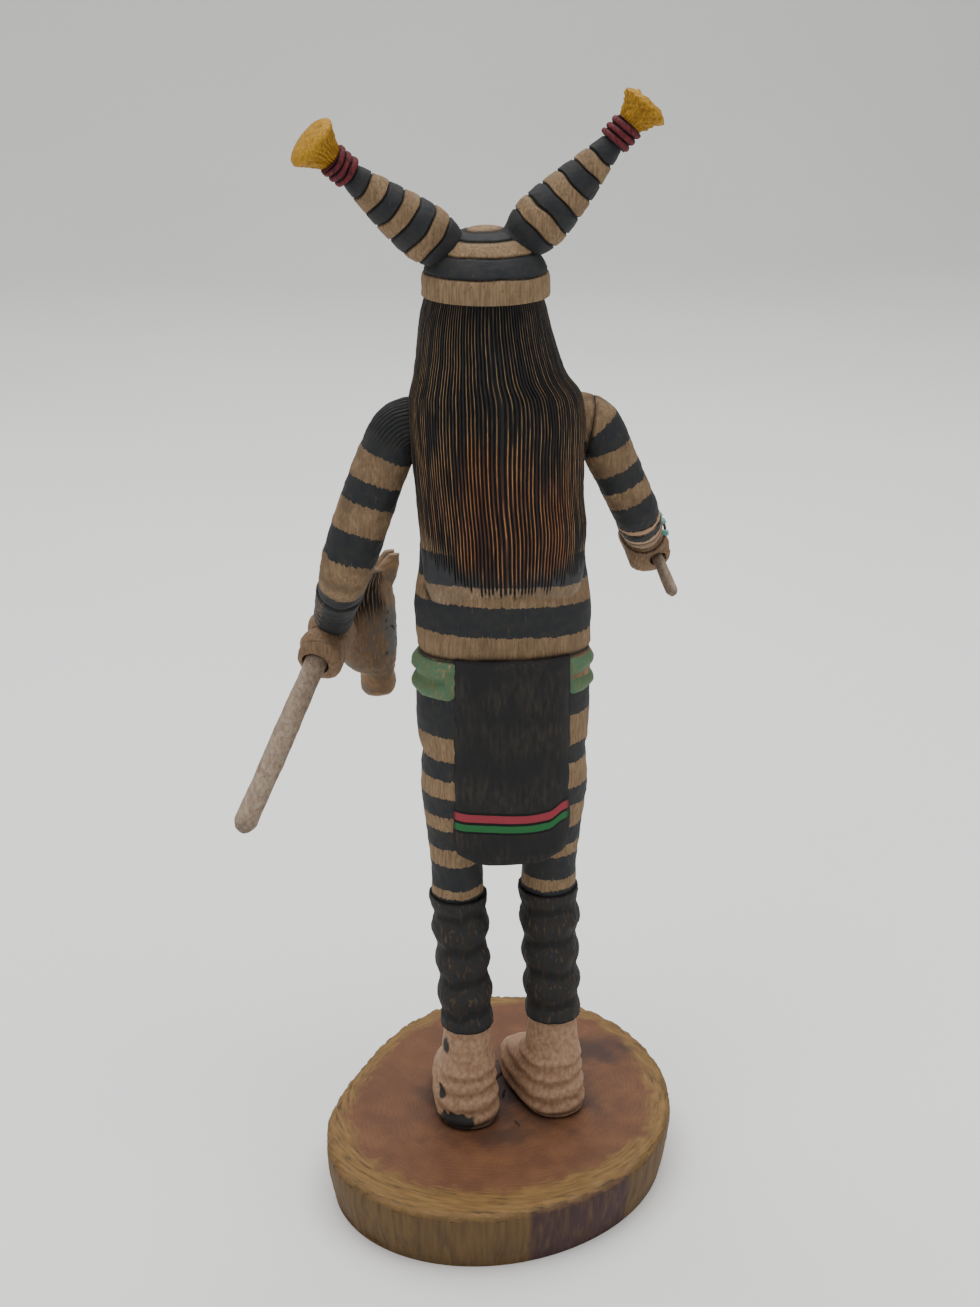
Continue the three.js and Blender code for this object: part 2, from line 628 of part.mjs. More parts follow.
function makeHorn({ root, bend, tip, long, full }) {
  const profile = hornProfile(HORN_LENGTH * long, full);
  const [foot, knee, end] = [root, bend, tip].map((point) => onFigure(...point));
  const length = profile.at(-1)[0];
  const first = foot.clone().addScaledVector(knee.clone().sub(foot).normalize(), -HORN_SUNK);
  const last = knee.clone().sub(foot).length();
  const far = end.clone().sub(knee).normalize().multiplyScalar(length - HORN_SUNK - last).add(knee);
  const axis = new THREE.CatmullRomCurve3([first, foot, knee, far]);
  const stock = profile.map(([distance, radius]) => [(distance / length) * axis.getLength(), radius]);
  return solid(turned(stock, axis, 11)).subtract(solid(makeCap(GLUE_GAP)));
}

// Putting the doll together.

const PAINT = {
  heartwood: ['#8f5a34', 0.75],
  wood: ['#a98a62', 0.8],
  stripe: ['#a98a62', 0.8],
  turquoise: ['#6aa79a', 0.5],
  pole: ['#9c876f', 0.8],
  horse: ['#8a6238', 0.7],
};

function piece(name, body, [colour, roughness]) {
  const material = new THREE.MeshStandardMaterial({ color: colour, roughness, metalness: 0 });
  const mesh = new THREE.Mesh(body.isBufferGeometry ? body : asGeometry(body), material);
  mesh.name = name;
  return mesh;
}

const wholeRightArm = solid(makeRightArm());
const { point: seamPoint, normal: seamNormal } = SHOULDER_SEAM;

const figure = joined([
  carve(TORSO, { sides: 22, rows: 10, power: 2.2, level: true }),
  makeBelt(),
  makeFlapBehind(),
  makeFlapInFront(),
  ...Object.values(LEGS).flatMap((leg) => [makeThigh(leg), makeLegging(leg), makeMoccasin(leg)]),
  makeHead(),
  ...makeFace(),
  makeCap(),
  makeHair(),
  makeLeftArm(),
  makeFist(FISTS.left, 1),
  makeThumb(FISTS.left, POLE_DIAMETER, -1),
])
  .add(wholeRightArm.subtract(beyond(seamPoint, seamNormal, 0)))
  .subtract(gripHole(FISTS.left, POLE_DIAMETER));

const rightArm = wholeRightArm.intersect(beyond(seamPoint, seamNormal, GLUE_GAP))
  .add(joined([makeFist(FISTS.right, -1), makeThumb(FISTS.right, SWITCH_DIAMETER, 1)]))
  .subtract(gripHole(FISTS.right, SWITCH_DIAMETER));

const doll = new THREE.Group();
doll.add(
  piece('base', makeBase(), PAINT.heartwood),
  piece('figure', figure, PAINT.wood),
  piece('right_arm', rightArm, PAINT.stripe),
  piece('horn_left', makeHorn(HORNS.left), PAINT.stripe),
  piece('horn_right', makeHorn(HORNS.right), PAINT.stripe),
  piece('stick_left', makePole(), PAINT.pole),
  piece('horse_head', makeHorseHead(), PAINT.horse),
  piece('stick_right', makeSwitch(), PAINT.pole),
  piece('bracelet', makeBracelet(), PAINT.turquoise),
);

export default doll;
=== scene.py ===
import math
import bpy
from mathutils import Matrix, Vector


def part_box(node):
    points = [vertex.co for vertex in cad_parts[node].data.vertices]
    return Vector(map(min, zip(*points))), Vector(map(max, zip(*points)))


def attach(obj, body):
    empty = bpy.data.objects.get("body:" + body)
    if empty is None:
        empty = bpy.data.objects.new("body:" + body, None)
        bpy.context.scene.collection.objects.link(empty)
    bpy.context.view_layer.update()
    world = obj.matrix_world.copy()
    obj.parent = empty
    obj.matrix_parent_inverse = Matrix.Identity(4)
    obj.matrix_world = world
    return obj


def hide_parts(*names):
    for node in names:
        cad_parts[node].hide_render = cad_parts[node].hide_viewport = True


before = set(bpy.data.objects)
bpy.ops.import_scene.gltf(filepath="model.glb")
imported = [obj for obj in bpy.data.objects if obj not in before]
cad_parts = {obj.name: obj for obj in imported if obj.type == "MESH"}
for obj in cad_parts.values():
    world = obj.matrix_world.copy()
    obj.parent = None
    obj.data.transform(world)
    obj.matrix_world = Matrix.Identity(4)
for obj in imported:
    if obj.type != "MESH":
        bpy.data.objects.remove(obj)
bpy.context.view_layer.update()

from types import SimpleNamespace

import bpy
import numpy as np
from mathutils import Matrix, Vector

bl_info = {
    "name": "Carved clown doll",
    "version": (1, 0, 0),
    "blender": (4, 5, 0),
    "location": "View3D > Sidebar > Doll",
    "description": "Carves and paints a root-wood doll with long hair and a horned cap, on a slice of trunk",
    "category": "Object",
}

# The doll is drawn in millimetres, from the top of the base, at one height. The frame gives the real one.
MM = 0.001
DRAWN_HEIGHT = 244.2
FIGURE_LOW, FIGURE_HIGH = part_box("figure")
GROW = (FIGURE_HIGH.z - FIGURE_LOW.z) / (DRAWN_HEIGHT * MM)
SOLE = FIGURE_LOW.z
BASE_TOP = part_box("base")[1].z
TURN = 2 * math.pi
UP = (0, 0, 1)

# Stations of each carved length: [x, y, z, half width, half depth behind, half depth in front].
TORSO = [
    [-0.9, 0.5, 105, 19.4, 12.2, 12],
    [-0.9, 0.5, 112, 22.4, 13.2, 13],
    [-0.8, 0.3, 121, 22.8, 13.6, 13.4],
    [-1.1, 0, 138, 22.5, 13, 14],
    [-0.8, -0.6, 148, 22.9, 12.8, 14.6],
    [-0.8, -1.4, 158, 21.6, 12.4, 14.6],
    [-0.4, -2.2, 168, 20.6, 12, 14.2],
    [0.3, -3, 178, 20.6, 11.6, 14],
    [0.8, -3.8, 187, 21.4, 11, 13],
    [1.2, -4.4, 195, 20.4, 9.4, 11],
    [2, -4.8, 201, 12, 7.2, 8.4],
    [3, -5, 207, 7.6, 6.4, 6.6],
]
BELT_BOTTOM = 125
BELT_TOP = 136.4
BELT_ROLL = 0.75
FLAP_PROUD = 1.3
HEM_KINK = 1.7
FLAP_BEHIND = [
    [-1.7, 4, 79, 10.8, 8.4, 2],
    [-2, 4, 81.5, 15, 8.7, 2],
    [-2, 4, 88, 16.2, 9.1, 2],
    [-1.9, 3, 104, 16.3, 11 + FLAP_PROUD, 2],
    [-1.8, 2, 122, 16.2, 12.6 + FLAP_PROUD, 2],
    [-1.8, 2, 135, 16.1, 12.6 + FLAP_PROUD, 2],
    [-1.8, 2, 137, 16, 11.8 + FLAP_PROUD, 2],
]
FLAP_IN_FRONT = [
    [-1.2, -4, 84, 10.8, 2, 7.4],
    [-1.2, -4, 86, 11.6, 2, 8.2],
    [-1.2, -3, 104, 12, 2, 10.6 + FLAP_PROUD],
    [-1.1, -2, 122, 12, 2, 12.2 + FLAP_PROUD],
    [-1, -2, 136, 12, 2, 12.2 + FLAP_PROUD],
]
ANKLE = 29.2
KNEE = 66
CROTCH = 84
# Each leg: its ankle and knee as x and y, the x of its hip, its half thickness, and where its toes point.
LEGS = {
    "left": {"ankle": (9.7, 7.6), "knee": (11.4, 1), "hip": 10.6, "thick": 7, "toe": (0.1, -1)},
    "right": {"ankle": (-14.5, 4.4), "knee": (-13.5, -1), "hip": -12.4, "thick": 7.4, "toe": (0.4, -0.92)},
}
LEGGING_RIDGES = 4
LEGGING_RIDGE = 0.55
MOCCASIN_FOLDS = 5
FOLD_DEPTH = 0.28
# Sections of a moccasin: height, half width, reach to the heel and reach to the toe.
FOOT = [
    [0, 7.6, 9, 23],
    [1.5, 8.4, 9.6, 24.6],
    [4.5, 8.6, 9.6, 25],
    [8, 8.3, 9, 23.6],
    [11.5, 7.9, 8.4, 19],
    [14.5, 7.7, 8.2, 12.6],
    [18, 7.4, 7.8, 9],
    [ANKLE + 1.6, 5.8, 6.2, 6.2],
]
HEAD_X = 3.3
HEAD_Y = -3
HEAD = [
    [HEAD_X, HEAD_Y - 1.5, 201, 5, 5, 6],
    [HEAD_X, HEAD_Y - 1.5, 204, 9.4, 9, 11.4],
    [HEAD_X, HEAD_Y - 1, 210, 12.6, 12, 14.2],
    [HEAD_X, HEAD_Y - 0.5, 218, 13.8, 13, 14.8],
    [HEAD_X, HEAD_Y, 226, 13.6, 12.2, 14],
    [HEAD_X, HEAD_Y, 231, 13, 11.6, 13.4],
]
# Each feature of the face: name, x from the middle, height, its swelling's half width and half height,
# its painted ring's, and how much of the ring the pupil or the open mouth takes.
FEATURES = (
    ("eye_right", -5, 218.4, (2.4, 1.7), (3.2, 2.6), 0.42),
    ("eye_left", 5, 218.4, (2.4, 1.7), (3.2, 2.6), 0.42),
    ("mouth", 0, 208.4, (3.2, 1.3), (4.4, 2.4), 0.3),
)
CAP_RIM = 227.6
CAP_BANDS = [CAP_RIM, 233.6, 238.2, 241.6, 243.4, DRAWN_HEIGHT]
CAP_RADIUS = 15.9
CAP_LINE = 0.4
# The hair is seen between these angles, in degrees. Its strokes end at about this height, each over a short way.
HAIR_SEEN = (-28, 208)
HAIR_ENDS = 151.8
STROKE_LIFT = 0.8
HAIR = [
    [-0.4, 5.4, 151, 18.4, 5.2, 4],
    [-0.4, 5.2, 156, 20, 6.9, 4],
    [-0.4, 4.6, 161, 20.6, 8, 5],
    [-0.4, 3.8, 169, 21.2, 8.6, 5],
    [0.3, 2.8, 178, 21.2, 9, 5],
    [0.7, 1.8, 188, 21.6, 9.4, 5],
    [0.8, 0.6, 197, 22, 10, 5],
    [1.2, -0.6, 203, 21.6, 10.6, 5],
    [2.4, -1.6, 208, 19.2, 11.6, 6],
    [3, -2.2, 213, 17.8, 12.6, 6.4],
    [3.6, -2.6, 219, 16.6, 13.4, 6.6],
    [3.8, -3, 224, 15.6, 13.8, 6.6],
    [3.8, -3, 229, 14.2, 13.2, 6.6],
]
LEFT_ARM = [
    [17, -4.5, 196, 6.6, 6.6, 6.6],
    [24.6, -4.6, 194, 7, 7, 7],
    [28.6, -4.8, 187, 7, 7, 7],
    [32.2, -4.6, 178, 7.1, 7, 7],
    [35.8, -4.2, 168, 7.2, 7, 7],
    [38.8, -4.8, 158.6, 6.9, 6.8, 6.8],
    [40.4, -10.6, 150.6, 6.1, 6, 6],
    [41.6, -18, 143.4, 5.2, 5.2, 5.2],
    [42.6, -23.4, 137, 4.8, 5.4, 5.4],
]
RIGHT_ARM = [
    [-16, -4.6, 197, 6, 6.4, 6.4],
    [-24.2, -4.8, 194, 6.6, 6.6, 6.6],
    [-28.2, -5, 186.6, 6.5, 6.4, 6.4],
    [-32, -5.4, 178.6, 6.1, 6.2, 6.2],
    [-35.6, -6.4, 171, 6, 6, 6],
    [-38.2, -11, 164.6, 5.6, 5.6, 5.6],
    [-40.2, -18.4, 161, 4.9, 4.9, 4.9],
    [-41.8, -25.6, 158, 4.4, 4.4, 4.4],
]
# The glue seam of the right shoulder.
SEAM_POINT = (-22.9, 0, 193.5)
SEAM_NORMAL = (-0.985, 0, -0.171)
SEAM_GAP = 0.15
# Each fist: the middles of its grip and palm, the way its stick points, its half sizes and its length.
FISTS = {
    "left": {"grip": (45.6, -24, 128.8), "palm": (44.2, -24.2, 130), "along": (0.345, 0.838, -0.426),
             "half": (6.3, 7.6, 7.6), "length": 15},
    "right": {"grip": (-45, -29.1, 153.2), "palm": (-42.6, -29.2, 154), "along": (-0.16, 0.868, -0.47),
              "half": (5.9, 6, 6), "length": 12.6},
}
FINGERS = 4
KNUCKLE = 0.7
GRIP_CLEARANCE = 0.8
GRIP_BAR = 16
THUMB_RADIUS = 2.2
FIST_SUNK = 0.32
POLE_DIAMETER = 6
POLE_BEHIND_FIST = 64
NECK_STANDOFF = 9.6
SWITCH_DIAMETER = 3.2
SWITCH_BEHIND_FIST = 18.5
SWITCH_AHEAD_OF_FIST = 20
# Chips of stone in a full turn. They are strung where they face the front, or out and not too far back.
CHIPS = 15
CHIPS_FRONT = -0.5
CHIPS_OUTER = -0.25
CHIPS_BACK = 0.25
BRACELET_STANDOFF = 1.5
THONG_DIAMETER = 0.76
# Each horn: three points of its axis, and how long and how full it is beside the sizes below.
HORNS = {
    "left": {"root": (12.6, -1.5, 238.8), "bend": (27, 0.5, 249.8), "tip": (38, 3.6, 259.3), "long": 1, "full": 1},
    "right": {"root": (-5, -1.5, 240.4), "bend": (-19, -1.8, 254.6), "tip": (-29.4, -2.2, 265.9), "long": 1.05,
              "full": 0.9},
}
HORN_LENGTH = 30.5
HORN_DIAMETERS = (10.8, 14.2, 5.6)
HORN_BELLY = 0.24
HORN_SUNK = 4
HORN_RINGS = 7
RING_GROOVE = 0.5
BINDING_LENGTH = 5.8
BINDING_DIAMETER = 8
BINDING_TURNS = 3
TASSEL_LENGTH = 7.4
TASSEL_DIAMETERS = (6.6, 14)
BRUSH_RIM = 0.8
BRUSH_ROUND = 1.4
HORSE_FACING = (-0.94, -0.34, 0)
HORSE_LOCKS = 58
# Sections of the horse's head: height over the pole's end, how far forward, half depth and half width.
HORSE_ROWS = [
    [-28, 10.4, 3.8, 3.4],
    [-26.6, 10.4, 4.8, 4.4],
    [-21.4, 10, 5, 4.8],
    [-19.4, 8.6, 7, 5.4],
    [-13, 7, 8.8, 6.2],
    [-5, 5.6, 10.2, 6.6],
    [2, 5, 10.2, 6.4],
    [6, 6.2, 8, 5.4],
    [9, 8.4, 4.8, 3.8],
]
# The base is cut to the frame's own size, so its edge, taper, fibres and cracks' depth are in metres.
BASE_SIDES = 360
BASE_EDGE = 0.0018
BASE_TAPER = 0.0022
# Swells of the rim: waves in a turn, share of the radius, direction in degrees.
RIM_WAVES = ((1, 0.033, 112), (2, 0.105, 128), (3, 0.03, 96))
# Cracks on the top: from, to, and how wide.
CRACKS = (
    ((-1, -17.5), (-5.5, -15), 0.5), ((-5.5, -15), (-8.5, -14), 0.4), ((-5.5, -15), (-0.5, -8.5), 0.55),
    ((-0.5, -8.5), (2, -6), 0.4), ((-2, -2), (-1, 1.5), 0.3), ((-3, 13), (-4, 15.5), 0.35),
)
# Stains on the top: x, y, half width, half depth and strength.
STAINS = (
    (8, 4, 19, 21, 0.7), (-14, 2, 19, 20, 0.75), (-30, -20, 17, 9, 0.8), (-4, -6, 10, 20, 0.95),
    (2, 20, 16, 6, 0.6),
)
# Patches of inner bark on the side: from and to, in degrees, and strength.
BARK = ((92, 129, 0.62), (143, 196, 0.34), (250, 275, 0.4))
# The fibres of the sapwood run round the slice, about 7 mm long at its 52 mm radius.
FIBRES_ROUND = 52 / 7
FIBRE_WIDTH = 0.0008
CRACK_DEPTH = 0.00035

# Each softbox: name, place and size in metres, power in watts.
SOFTBOXES = (
    ("softbox_over", (0.0, -0.2, 1.25), 1.5, 25.0),
    ("softbox_left", (1.0, 0.7, 0.8), 0.9, 3.2),
    ("softbox_right", (-1.0, 0.6, 0.8), 0.9, 2.4),
)
LIT_SPOT = (0, 0, 0.12)
AIR_LIGHT = 0.31

# Edges of the painted bands, in millimetres: heights on the body and the legs, lengths from the shoulder on
# the arms. Bands of the body tilt about a line to the right of it.
BAND_TILT = 0.04
BAND_PIVOT = -20
TORSO_BANDS = (103, 108.4, 115.3, 128, 142, 150, 155.5, 164, 172, 181, 190, 200, 210)
RIGHT_HIP_BANDS = (106.9, 111.7, 120.3, 128, 210)
LEFT_HIP_BANDS = (103, 108.4, 115.3, 128, 210)
LEFT_LEG_BANDS = (60, 66.9, 69.3, 76.7, 81.8, 87.8, 91.8, 97.7, 103, 108.4, 115.3, 126)
RIGHT_LEG_BANDS = (60, 67.4, 70.6, 77.6, 81.5, 87, 93.9, 99.6, 106.9, 111.7, 120.3, 126)
LEFT_ARM_BANDS = (-1, 15.4, 22.6, 28.5, 36.2, 43.7, 53.6, 76)
LEFT_CUFF = (58.5, 74.6)
LACE_PITCH = 2.2
RIGHT_ARM_BANDS = (-1, 9.5, 15.5, 21.7, 26.6, 31.1, 37.4, 39.2, 41.4, 62)
RIGHT_CUFF_END = 43
# Each striped part: its bands, whether the first is black, how ragged the edges are, how stained the wood is.
STRIPES = {
    "torso": (TORSO_BANDS, True, 0.6, 0.45),
    "left_leg": (LEFT_LEG_BANDS, True, 0.6, 0.1),
    "right_leg": (RIGHT_LEG_BANDS, True, 0.6, 0.1),
    "left_arm": (LEFT_ARM_BANDS, True, 0.6, 0.9),
    "right_arm": (RIGHT_ARM_BANDS, False, 0.6, 0.9),
    "horn": (tuple(range(HORN_RINGS + 1)), True, 0.05, 0.45),
    "cap": (CAP_BANDS, False, 0.3, 0.1),
}


def placed(points):
    """Drawn millimetres as metres in the frame."""
    out = np.asarray(points, float) * (GROW * MM)
    out[..., 2] += SOLE
    return out


def linear(hex_colour):
    """An sRGB hex colour as linear red, green, blue and alpha."""
    parts = [int(hex_colour[i:i + 2], 16) / 255 for i in (1, 3, 5)]
    return tuple(c / 12.92 if c <= 0.04045 else ((c + 0.055) / 1.055) ** 2.4 for c in parts) + (1.0,)


def unit(vector):
    """The same direction, at length 1."""
    return np.asarray(vector, float) / np.linalg.norm(vector)


def ease(low, high, value):
    """0 below low, 1 above high, and smooth between."""
    t = np.clip((np.asarray(value, float) - low) / (high - low), 0, 1)
    return t * t * (3 - 2 * t)


def ripple(points, size, seed, waves=7):
    """A soft random unevenness between about -1 and 1, whose swells are about size across."""
    draw = np.random.default_rng(seed)
    total = 0
    for _ in range(waves):
        direction = unit(draw.normal(size=3)) * draw.uniform(0.6, 1.5)
        total = total + np.sin(TURN * (points @ direction) / size + draw.uniform(0, TURN))
    return total / math.sqrt(waves * 2)


def smooth_line(points, shares):
    """Points on a centripetal Catmull-Rom line, at shares of the way along its stations."""
    p = np.asarray(points, float)
    padded = np.vstack([2 * p[0] - p[1], p, 2 * p[-1] - p[-2]])
    out = []
    for share in shares:
        where = share * (len(p) - 1)
        i = min(max(int(where), 0), len(p) - 2)
        w = where - i
        a, b, c, d = padded[i:i + 4]
        steps = [float(((q - r) ** 2).sum()) ** 0.25 for q, r in ((b, a), (c, b), (d, c))]
        t1 = steps[1] if steps[1] > 1e-4 else 1.0
        t0 = steps[0] if steps[0] > 1e-4 else t1
        t2 = steps[2] if steps[2] > 1e-4 else t1
        m1 = ((b - a) / t0 - (c - a) / (t0 + t1) + (c - b) / t1) * t1
        m2 = ((c - b) / t1 - (d - b) / (t1 + t2) + (d - c) / t2) * t1
        out.append(b + w * m1 + w * w * (3 * (c - b) - 2 * m1 - m2) + w ** 3 * (2 * (b - c) + m1 + m2))
    return np.array(out)


def cross_sections(line, tangent, sizes, angles, share, power=2.0, across=(1, 0, 0)):
    """Rounded sections square to a line, as a form with its points, directions and coordinates.
    One tangent may hold for the whole line, a radius for a section, and a count of sides for the angles."""
    tangent = np.broadcast_to(np.asarray(tangent, float), line.shape)
    tangent = tangent / np.linalg.norm(tangent, axis=1, keepdims=True)
    sizes = np.repeat(sizes[:, None], 3, axis=1) if sizes.ndim == 1 else sizes
    angles = np.arange(angles) * TURN / angles if np.ndim(angles) == 0 else angles
    u = np.asarray(across, float) - tangent * (tangent @ np.asarray(across, float))[:, None]
    u /= np.linalg.norm(u, axis=1, keepdims=True)
    v = np.cross(tangent, u)
    cos, sin = np.cos(angles), np.sin(angles)
    bend = 2 / power
    reach_u = np.sign(cos) * np.abs(cos) ** bend * sizes[:, :1]
    reach_v = np.sign(sin) * np.abs(sin) ** bend * np.where(sin > 0, sizes[:, 1:2], sizes[:, 2:3])
    grid = line[:, None] + u[:, None] * reach_u[..., None] + v[:, None] * reach_v[..., None]
    out = u[:, None] * cos[None, :, None] + v[:, None] * sin[None, :, None]
    steps = np.linalg.norm(np.diff(line, axis=0), axis=1)
    length = np.concatenate([[0], np.cumsum(steps)])
    shape = grid.shape[:2]
    return SimpleNamespace(
        grid=grid, out=out, share=np.broadcast_to(share[:, None], shape),
        angle=np.broadcast_to(angles[None], shape), length=np.broadcast_to(length[:, None], shape))


def carved(stations, angles, rows, level=False, **shape):
    """A carved length through its stations. Level sections lie flat."""
    table = np.asarray(stations, float)
    share = np.linspace(0, 1, rows)
    line = smooth_line(table[:, :3], share)
    nudge = 1e-3
    ahead = smooth_line(table[:, :3], np.clip(share + nudge, 0, 1))
    behind = smooth_line(table[:, :3], np.clip(share - nudge, 0, 1))
    tangent = (0, 0, np.sign(table[-1, 2] - table[0, 2])) if level else ahead - behind
    return cross_sections(line, tangent, smooth_line(table[:, 3:6], share), angles, share, **shape)


def bulge(middle, axis, reach, girth, least, rows, sides, power=2.0):
    """A rounded swelling about a middle, closed at both ends of its axis."""
    lean = np.linspace(-math.pi / 2, math.pi / 2, rows)
    line = middle + np.asarray(axis, float) * (np.sin(lean) * reach)[:, None]
    around = np.cos(lean)[:, None] * [girth] + least
    return cross_sections(line, axis, around, sides, (np.sin(lean) + 1) / 2, power)


def raised(form, relief):
    """The form with its skin moved outwards by a relief in millimetres."""
    form.grid = form.grid + form.out * np.asarray(relief)[..., None]
    return form


def knife_marks(form, depth=0.07, size=5.0, seed=1):
    """The slight flats and hollows that a knife and a rasp leave."""
    return depth * ripple(form.grid, size, seed) + depth * 0.5 * ripple(form.grid, size * 0.4, seed + 50)


def make_piece(name, grid, values=None, placed_already=False, material_rows=None, sharp=40):
    """A closed mesh over a grid of rows, with fans at both ends and its values kept as attributes."""
    rows, sides = grid.shape[:2]
    ends = [grid[0].mean(0), grid[-1].mean(0)]
    points = np.vstack([grid.reshape(-1, 3), ends])
    points = points if placed_already else placed(points)
    row, col = np.meshgrid(np.arange(rows - 1), np.arange(sides), indexing="ij")
    after = (col + 1) % sides
    quads = np.stack([row * sides + col, row * sides + after, (row + 1) * sides + after,
                      (row + 1) * sides + col], axis=-1).reshape(-1, 4)
    around = np.arange(sides)
    beyond = (around + 1) % sides
    first = np.stack([np.full(sides, rows * sides), beyond, around], axis=-1)
    top = (rows - 1) * sides
    last = np.stack([np.full(sides, rows * sides + 1), top + around, top + beyond], axis=-1)
    a, b, c = points[quads[:, 0]], points[quads[:, 1]], points[quads[:, 2]]
    if np.einsum("ij,ij->", a, np.cross(b, c)) < 0:
        quads, first, last = quads[:, ::-1], first[:, ::-1], last[:, ::-1]
    mesh = bpy.data.meshes.new(name)
    mesh.from_pydata(points.tolist(), [], quads.tolist() + first.tolist() + last.tolist())
    mesh.polygons.foreach_set("use_smooth", [True] * len(mesh.polygons))
    for key, value in (values or {}).items():
        flat = np.broadcast_to(value, (rows, sides)).reshape(-1)
        flat = np.concatenate([flat, [np.mean(flat[:sides]), np.mean(flat[-sides:])]])
        mesh.attributes.new(key, "FLOAT", "POINT").data.foreach_set("value", flat.astype(np.float32))
    if material_rows is not None:
        index = np.repeat(np.asarray(material_rows)[:-1], sides)
        ends = [material_rows[0]] * sides + [material_rows[-1]] * sides
        mesh.polygons.foreach_set("material_index", np.concatenate([index, ends]).astype(np.int32))
    mesh.update()
    mesh.set_sharp_from_angle(angle=math.radians(sharp))
    return stood(name, mesh)


def stood(name, data):
    """A new object in the scene."""
    thing = bpy.data.objects.new(name, data)
    bpy.context.scene.collection.objects.link(thing)
    return thing


def finished(piece, node, slot, *materials):
    """Puts a piece in its place in the frame, with its materials."""
    for material in materials:
        piece.data.materials.append(material)
    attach(piece, "root")
    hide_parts(node)
    return piece


def carve(name, form, node, material, slot="painted_root", **values):
    """Makes a piece of a form, keeps its values as attributes, and puts it in its place."""
    return finished(make_piece(name, form.grid, values), node, slot, material)


def apply_modifiers(piece):
    """Keeps the modified mesh and drops the modifiers."""
    depsgraph = bpy.context.evaluated_depsgraph_get()
    mesh = bpy.data.meshes.new_from_object(piece.evaluated_get(depsgraph), depsgraph=depsgraph)
    piece.modifiers.clear()
    old, piece.data = piece.data, mesh
    mesh.name = old.name + "_cut"
    bpy.data.meshes.remove(old)


def straight(start, end, radii, shares, sides):
    """A round form along a straight line, with a radius at each share of the way."""
    start, end = np.asarray(start, float), np.asarray(end, float)
    line = start + (end - start) * shares[:, None]
    return cross_sections(line, end - start, radii, sides, shares, across=(0.1, 0.2, 1))


def cut_by(piece, cutter, operation="DIFFERENCE"):
    """Cuts a piece with another mesh, which is used up."""
    modifier = piece.modifiers.new("cut", "BOOLEAN")
    modifier.operation = operation
    modifier.solver = "EXACT"
    modifier.object = cutter
    apply_modifiers(piece)
    bpy.data.objects.remove(cutter)
    piece.data.set_sharp_from_angle(angle=math.radians(40))


def add(tree, kind, links=None, out=0, stops=None, stepped=False, **settings):
    """Adds a node with its settings, links and ramp stops, and gives the wanted output."""
    node = tree.nodes.new("ShaderNode" + kind)
    for key, value in settings.items():
        setattr(node, key, value)
    for socket, value in (links or {}).items():
        if isinstance(value, bpy.types.NodeSocket):
            tree.links.new(value, node.inputs[socket])
        else:
            node.inputs[socket].default_value = value
    if stops:
        ramp = node.color_ramp
        ramp.interpolation = "CONSTANT" if stepped else "LINEAR"
        while len(ramp.elements) > 1:
            ramp.elements.remove(ramp.elements[-1])
        ramp.elements[0].position, ramp.elements[0].color = stops[0]
        for position, colour in stops[1:]:
            ramp.elements.new(position).color = colour
    return node.outputs[out]


def mix(tree, share, first, second):
    """The first colour, with a share of the second."""
    return add(tree, "Mix", {0: share, 6: first, 7: second}, out=2, data_type="RGBA")


def calc(tree, operation, *values):
    """One sum on values of the material."""
    return add(tree, "Math", dict(enumerate(values)), operation=operation)


def attribute(tree, name):
    """A value kept on the mesh."""
    return add(tree, "Attribute", out=2, attribute_name=name)


def rescaled(tree, value, low, high, at_low, at_high):
    """A value between low and high, turned to one between at_low and at_high."""
    return add(tree, "MapRange", {0: value, 1: low, 2: high, 3: at_low, 4: at_high})


def in_grooves(tree, colour, dark):
    """The colour, darkened where a line is cut or burned, and with painted shade in some creases and hollows."""
    return mix(tree, attribute(tree, "groove"), colour, dark)


def new_material(name):
    """An empty material and its nodes."""
    material = bpy.data.materials.new(name)
    material.use_nodes = True
    material.node_tree.nodes.clear()
    return material, material.node_tree


def finish_material(tree, colour, roughness, bump=None, bump_mm=0.1, **fixed):
    """The surface shader: a colour, a roughness, a fine relief, and sockets that are the same all over."""
    inputs = {"Base Color": colour, "Roughness": roughness}
    inputs.update({key.replace("_", " "): value for key, value in fixed.items()})
    if bump is not None:
        inputs["Normal"] = add(tree, "Bump", {"Strength": 0.6, "Distance": bump_mm * MM, "Height": bump})
    shader = add(tree, "BsdfPrincipled", inputs)
    add_output = tree.nodes.new("ShaderNodeOutputMaterial")
    tree.links.new(shader, add_output.inputs["Surface"])


BLACK = (0, 0, 0, 1)
WHITE = (1, 1, 1, 1)


def grain_noise(tree, width_mm, stretch=12.0, detail=3.0, along="Z"):
    """Noise drawn out along the grain, whose streaks are about width_mm wide."""
    place = add(tree, "TexCoord", out=3)
    scale = [1.0, 1.0, 1.0]
    scale["XYZ".index(along)] = 1 / stretch
    stretched = add(tree, "Mapping", {"Vector": place, "Scale": scale})
    return add(tree, "TexNoise", {"Vector": stretched, "Scale": 1 / (width_mm * MM), "Detail": detail})


def blotch_noise(tree, size_mm, detail=2.0):
    """Noise whose blotches are about size_mm across."""
    place = add(tree, "TexCoord", out=3)
    return add(tree, "TexNoise", {"Vector": place, "Scale": 1 / (size_mm * MM), "Detail": detail})


def ramp(tree, value, low, high):
    """0 below low and 1 above high."""
    return add(tree, "ValToRGB", {0: value}, stops=[(low, BLACK), (high, WHITE)])


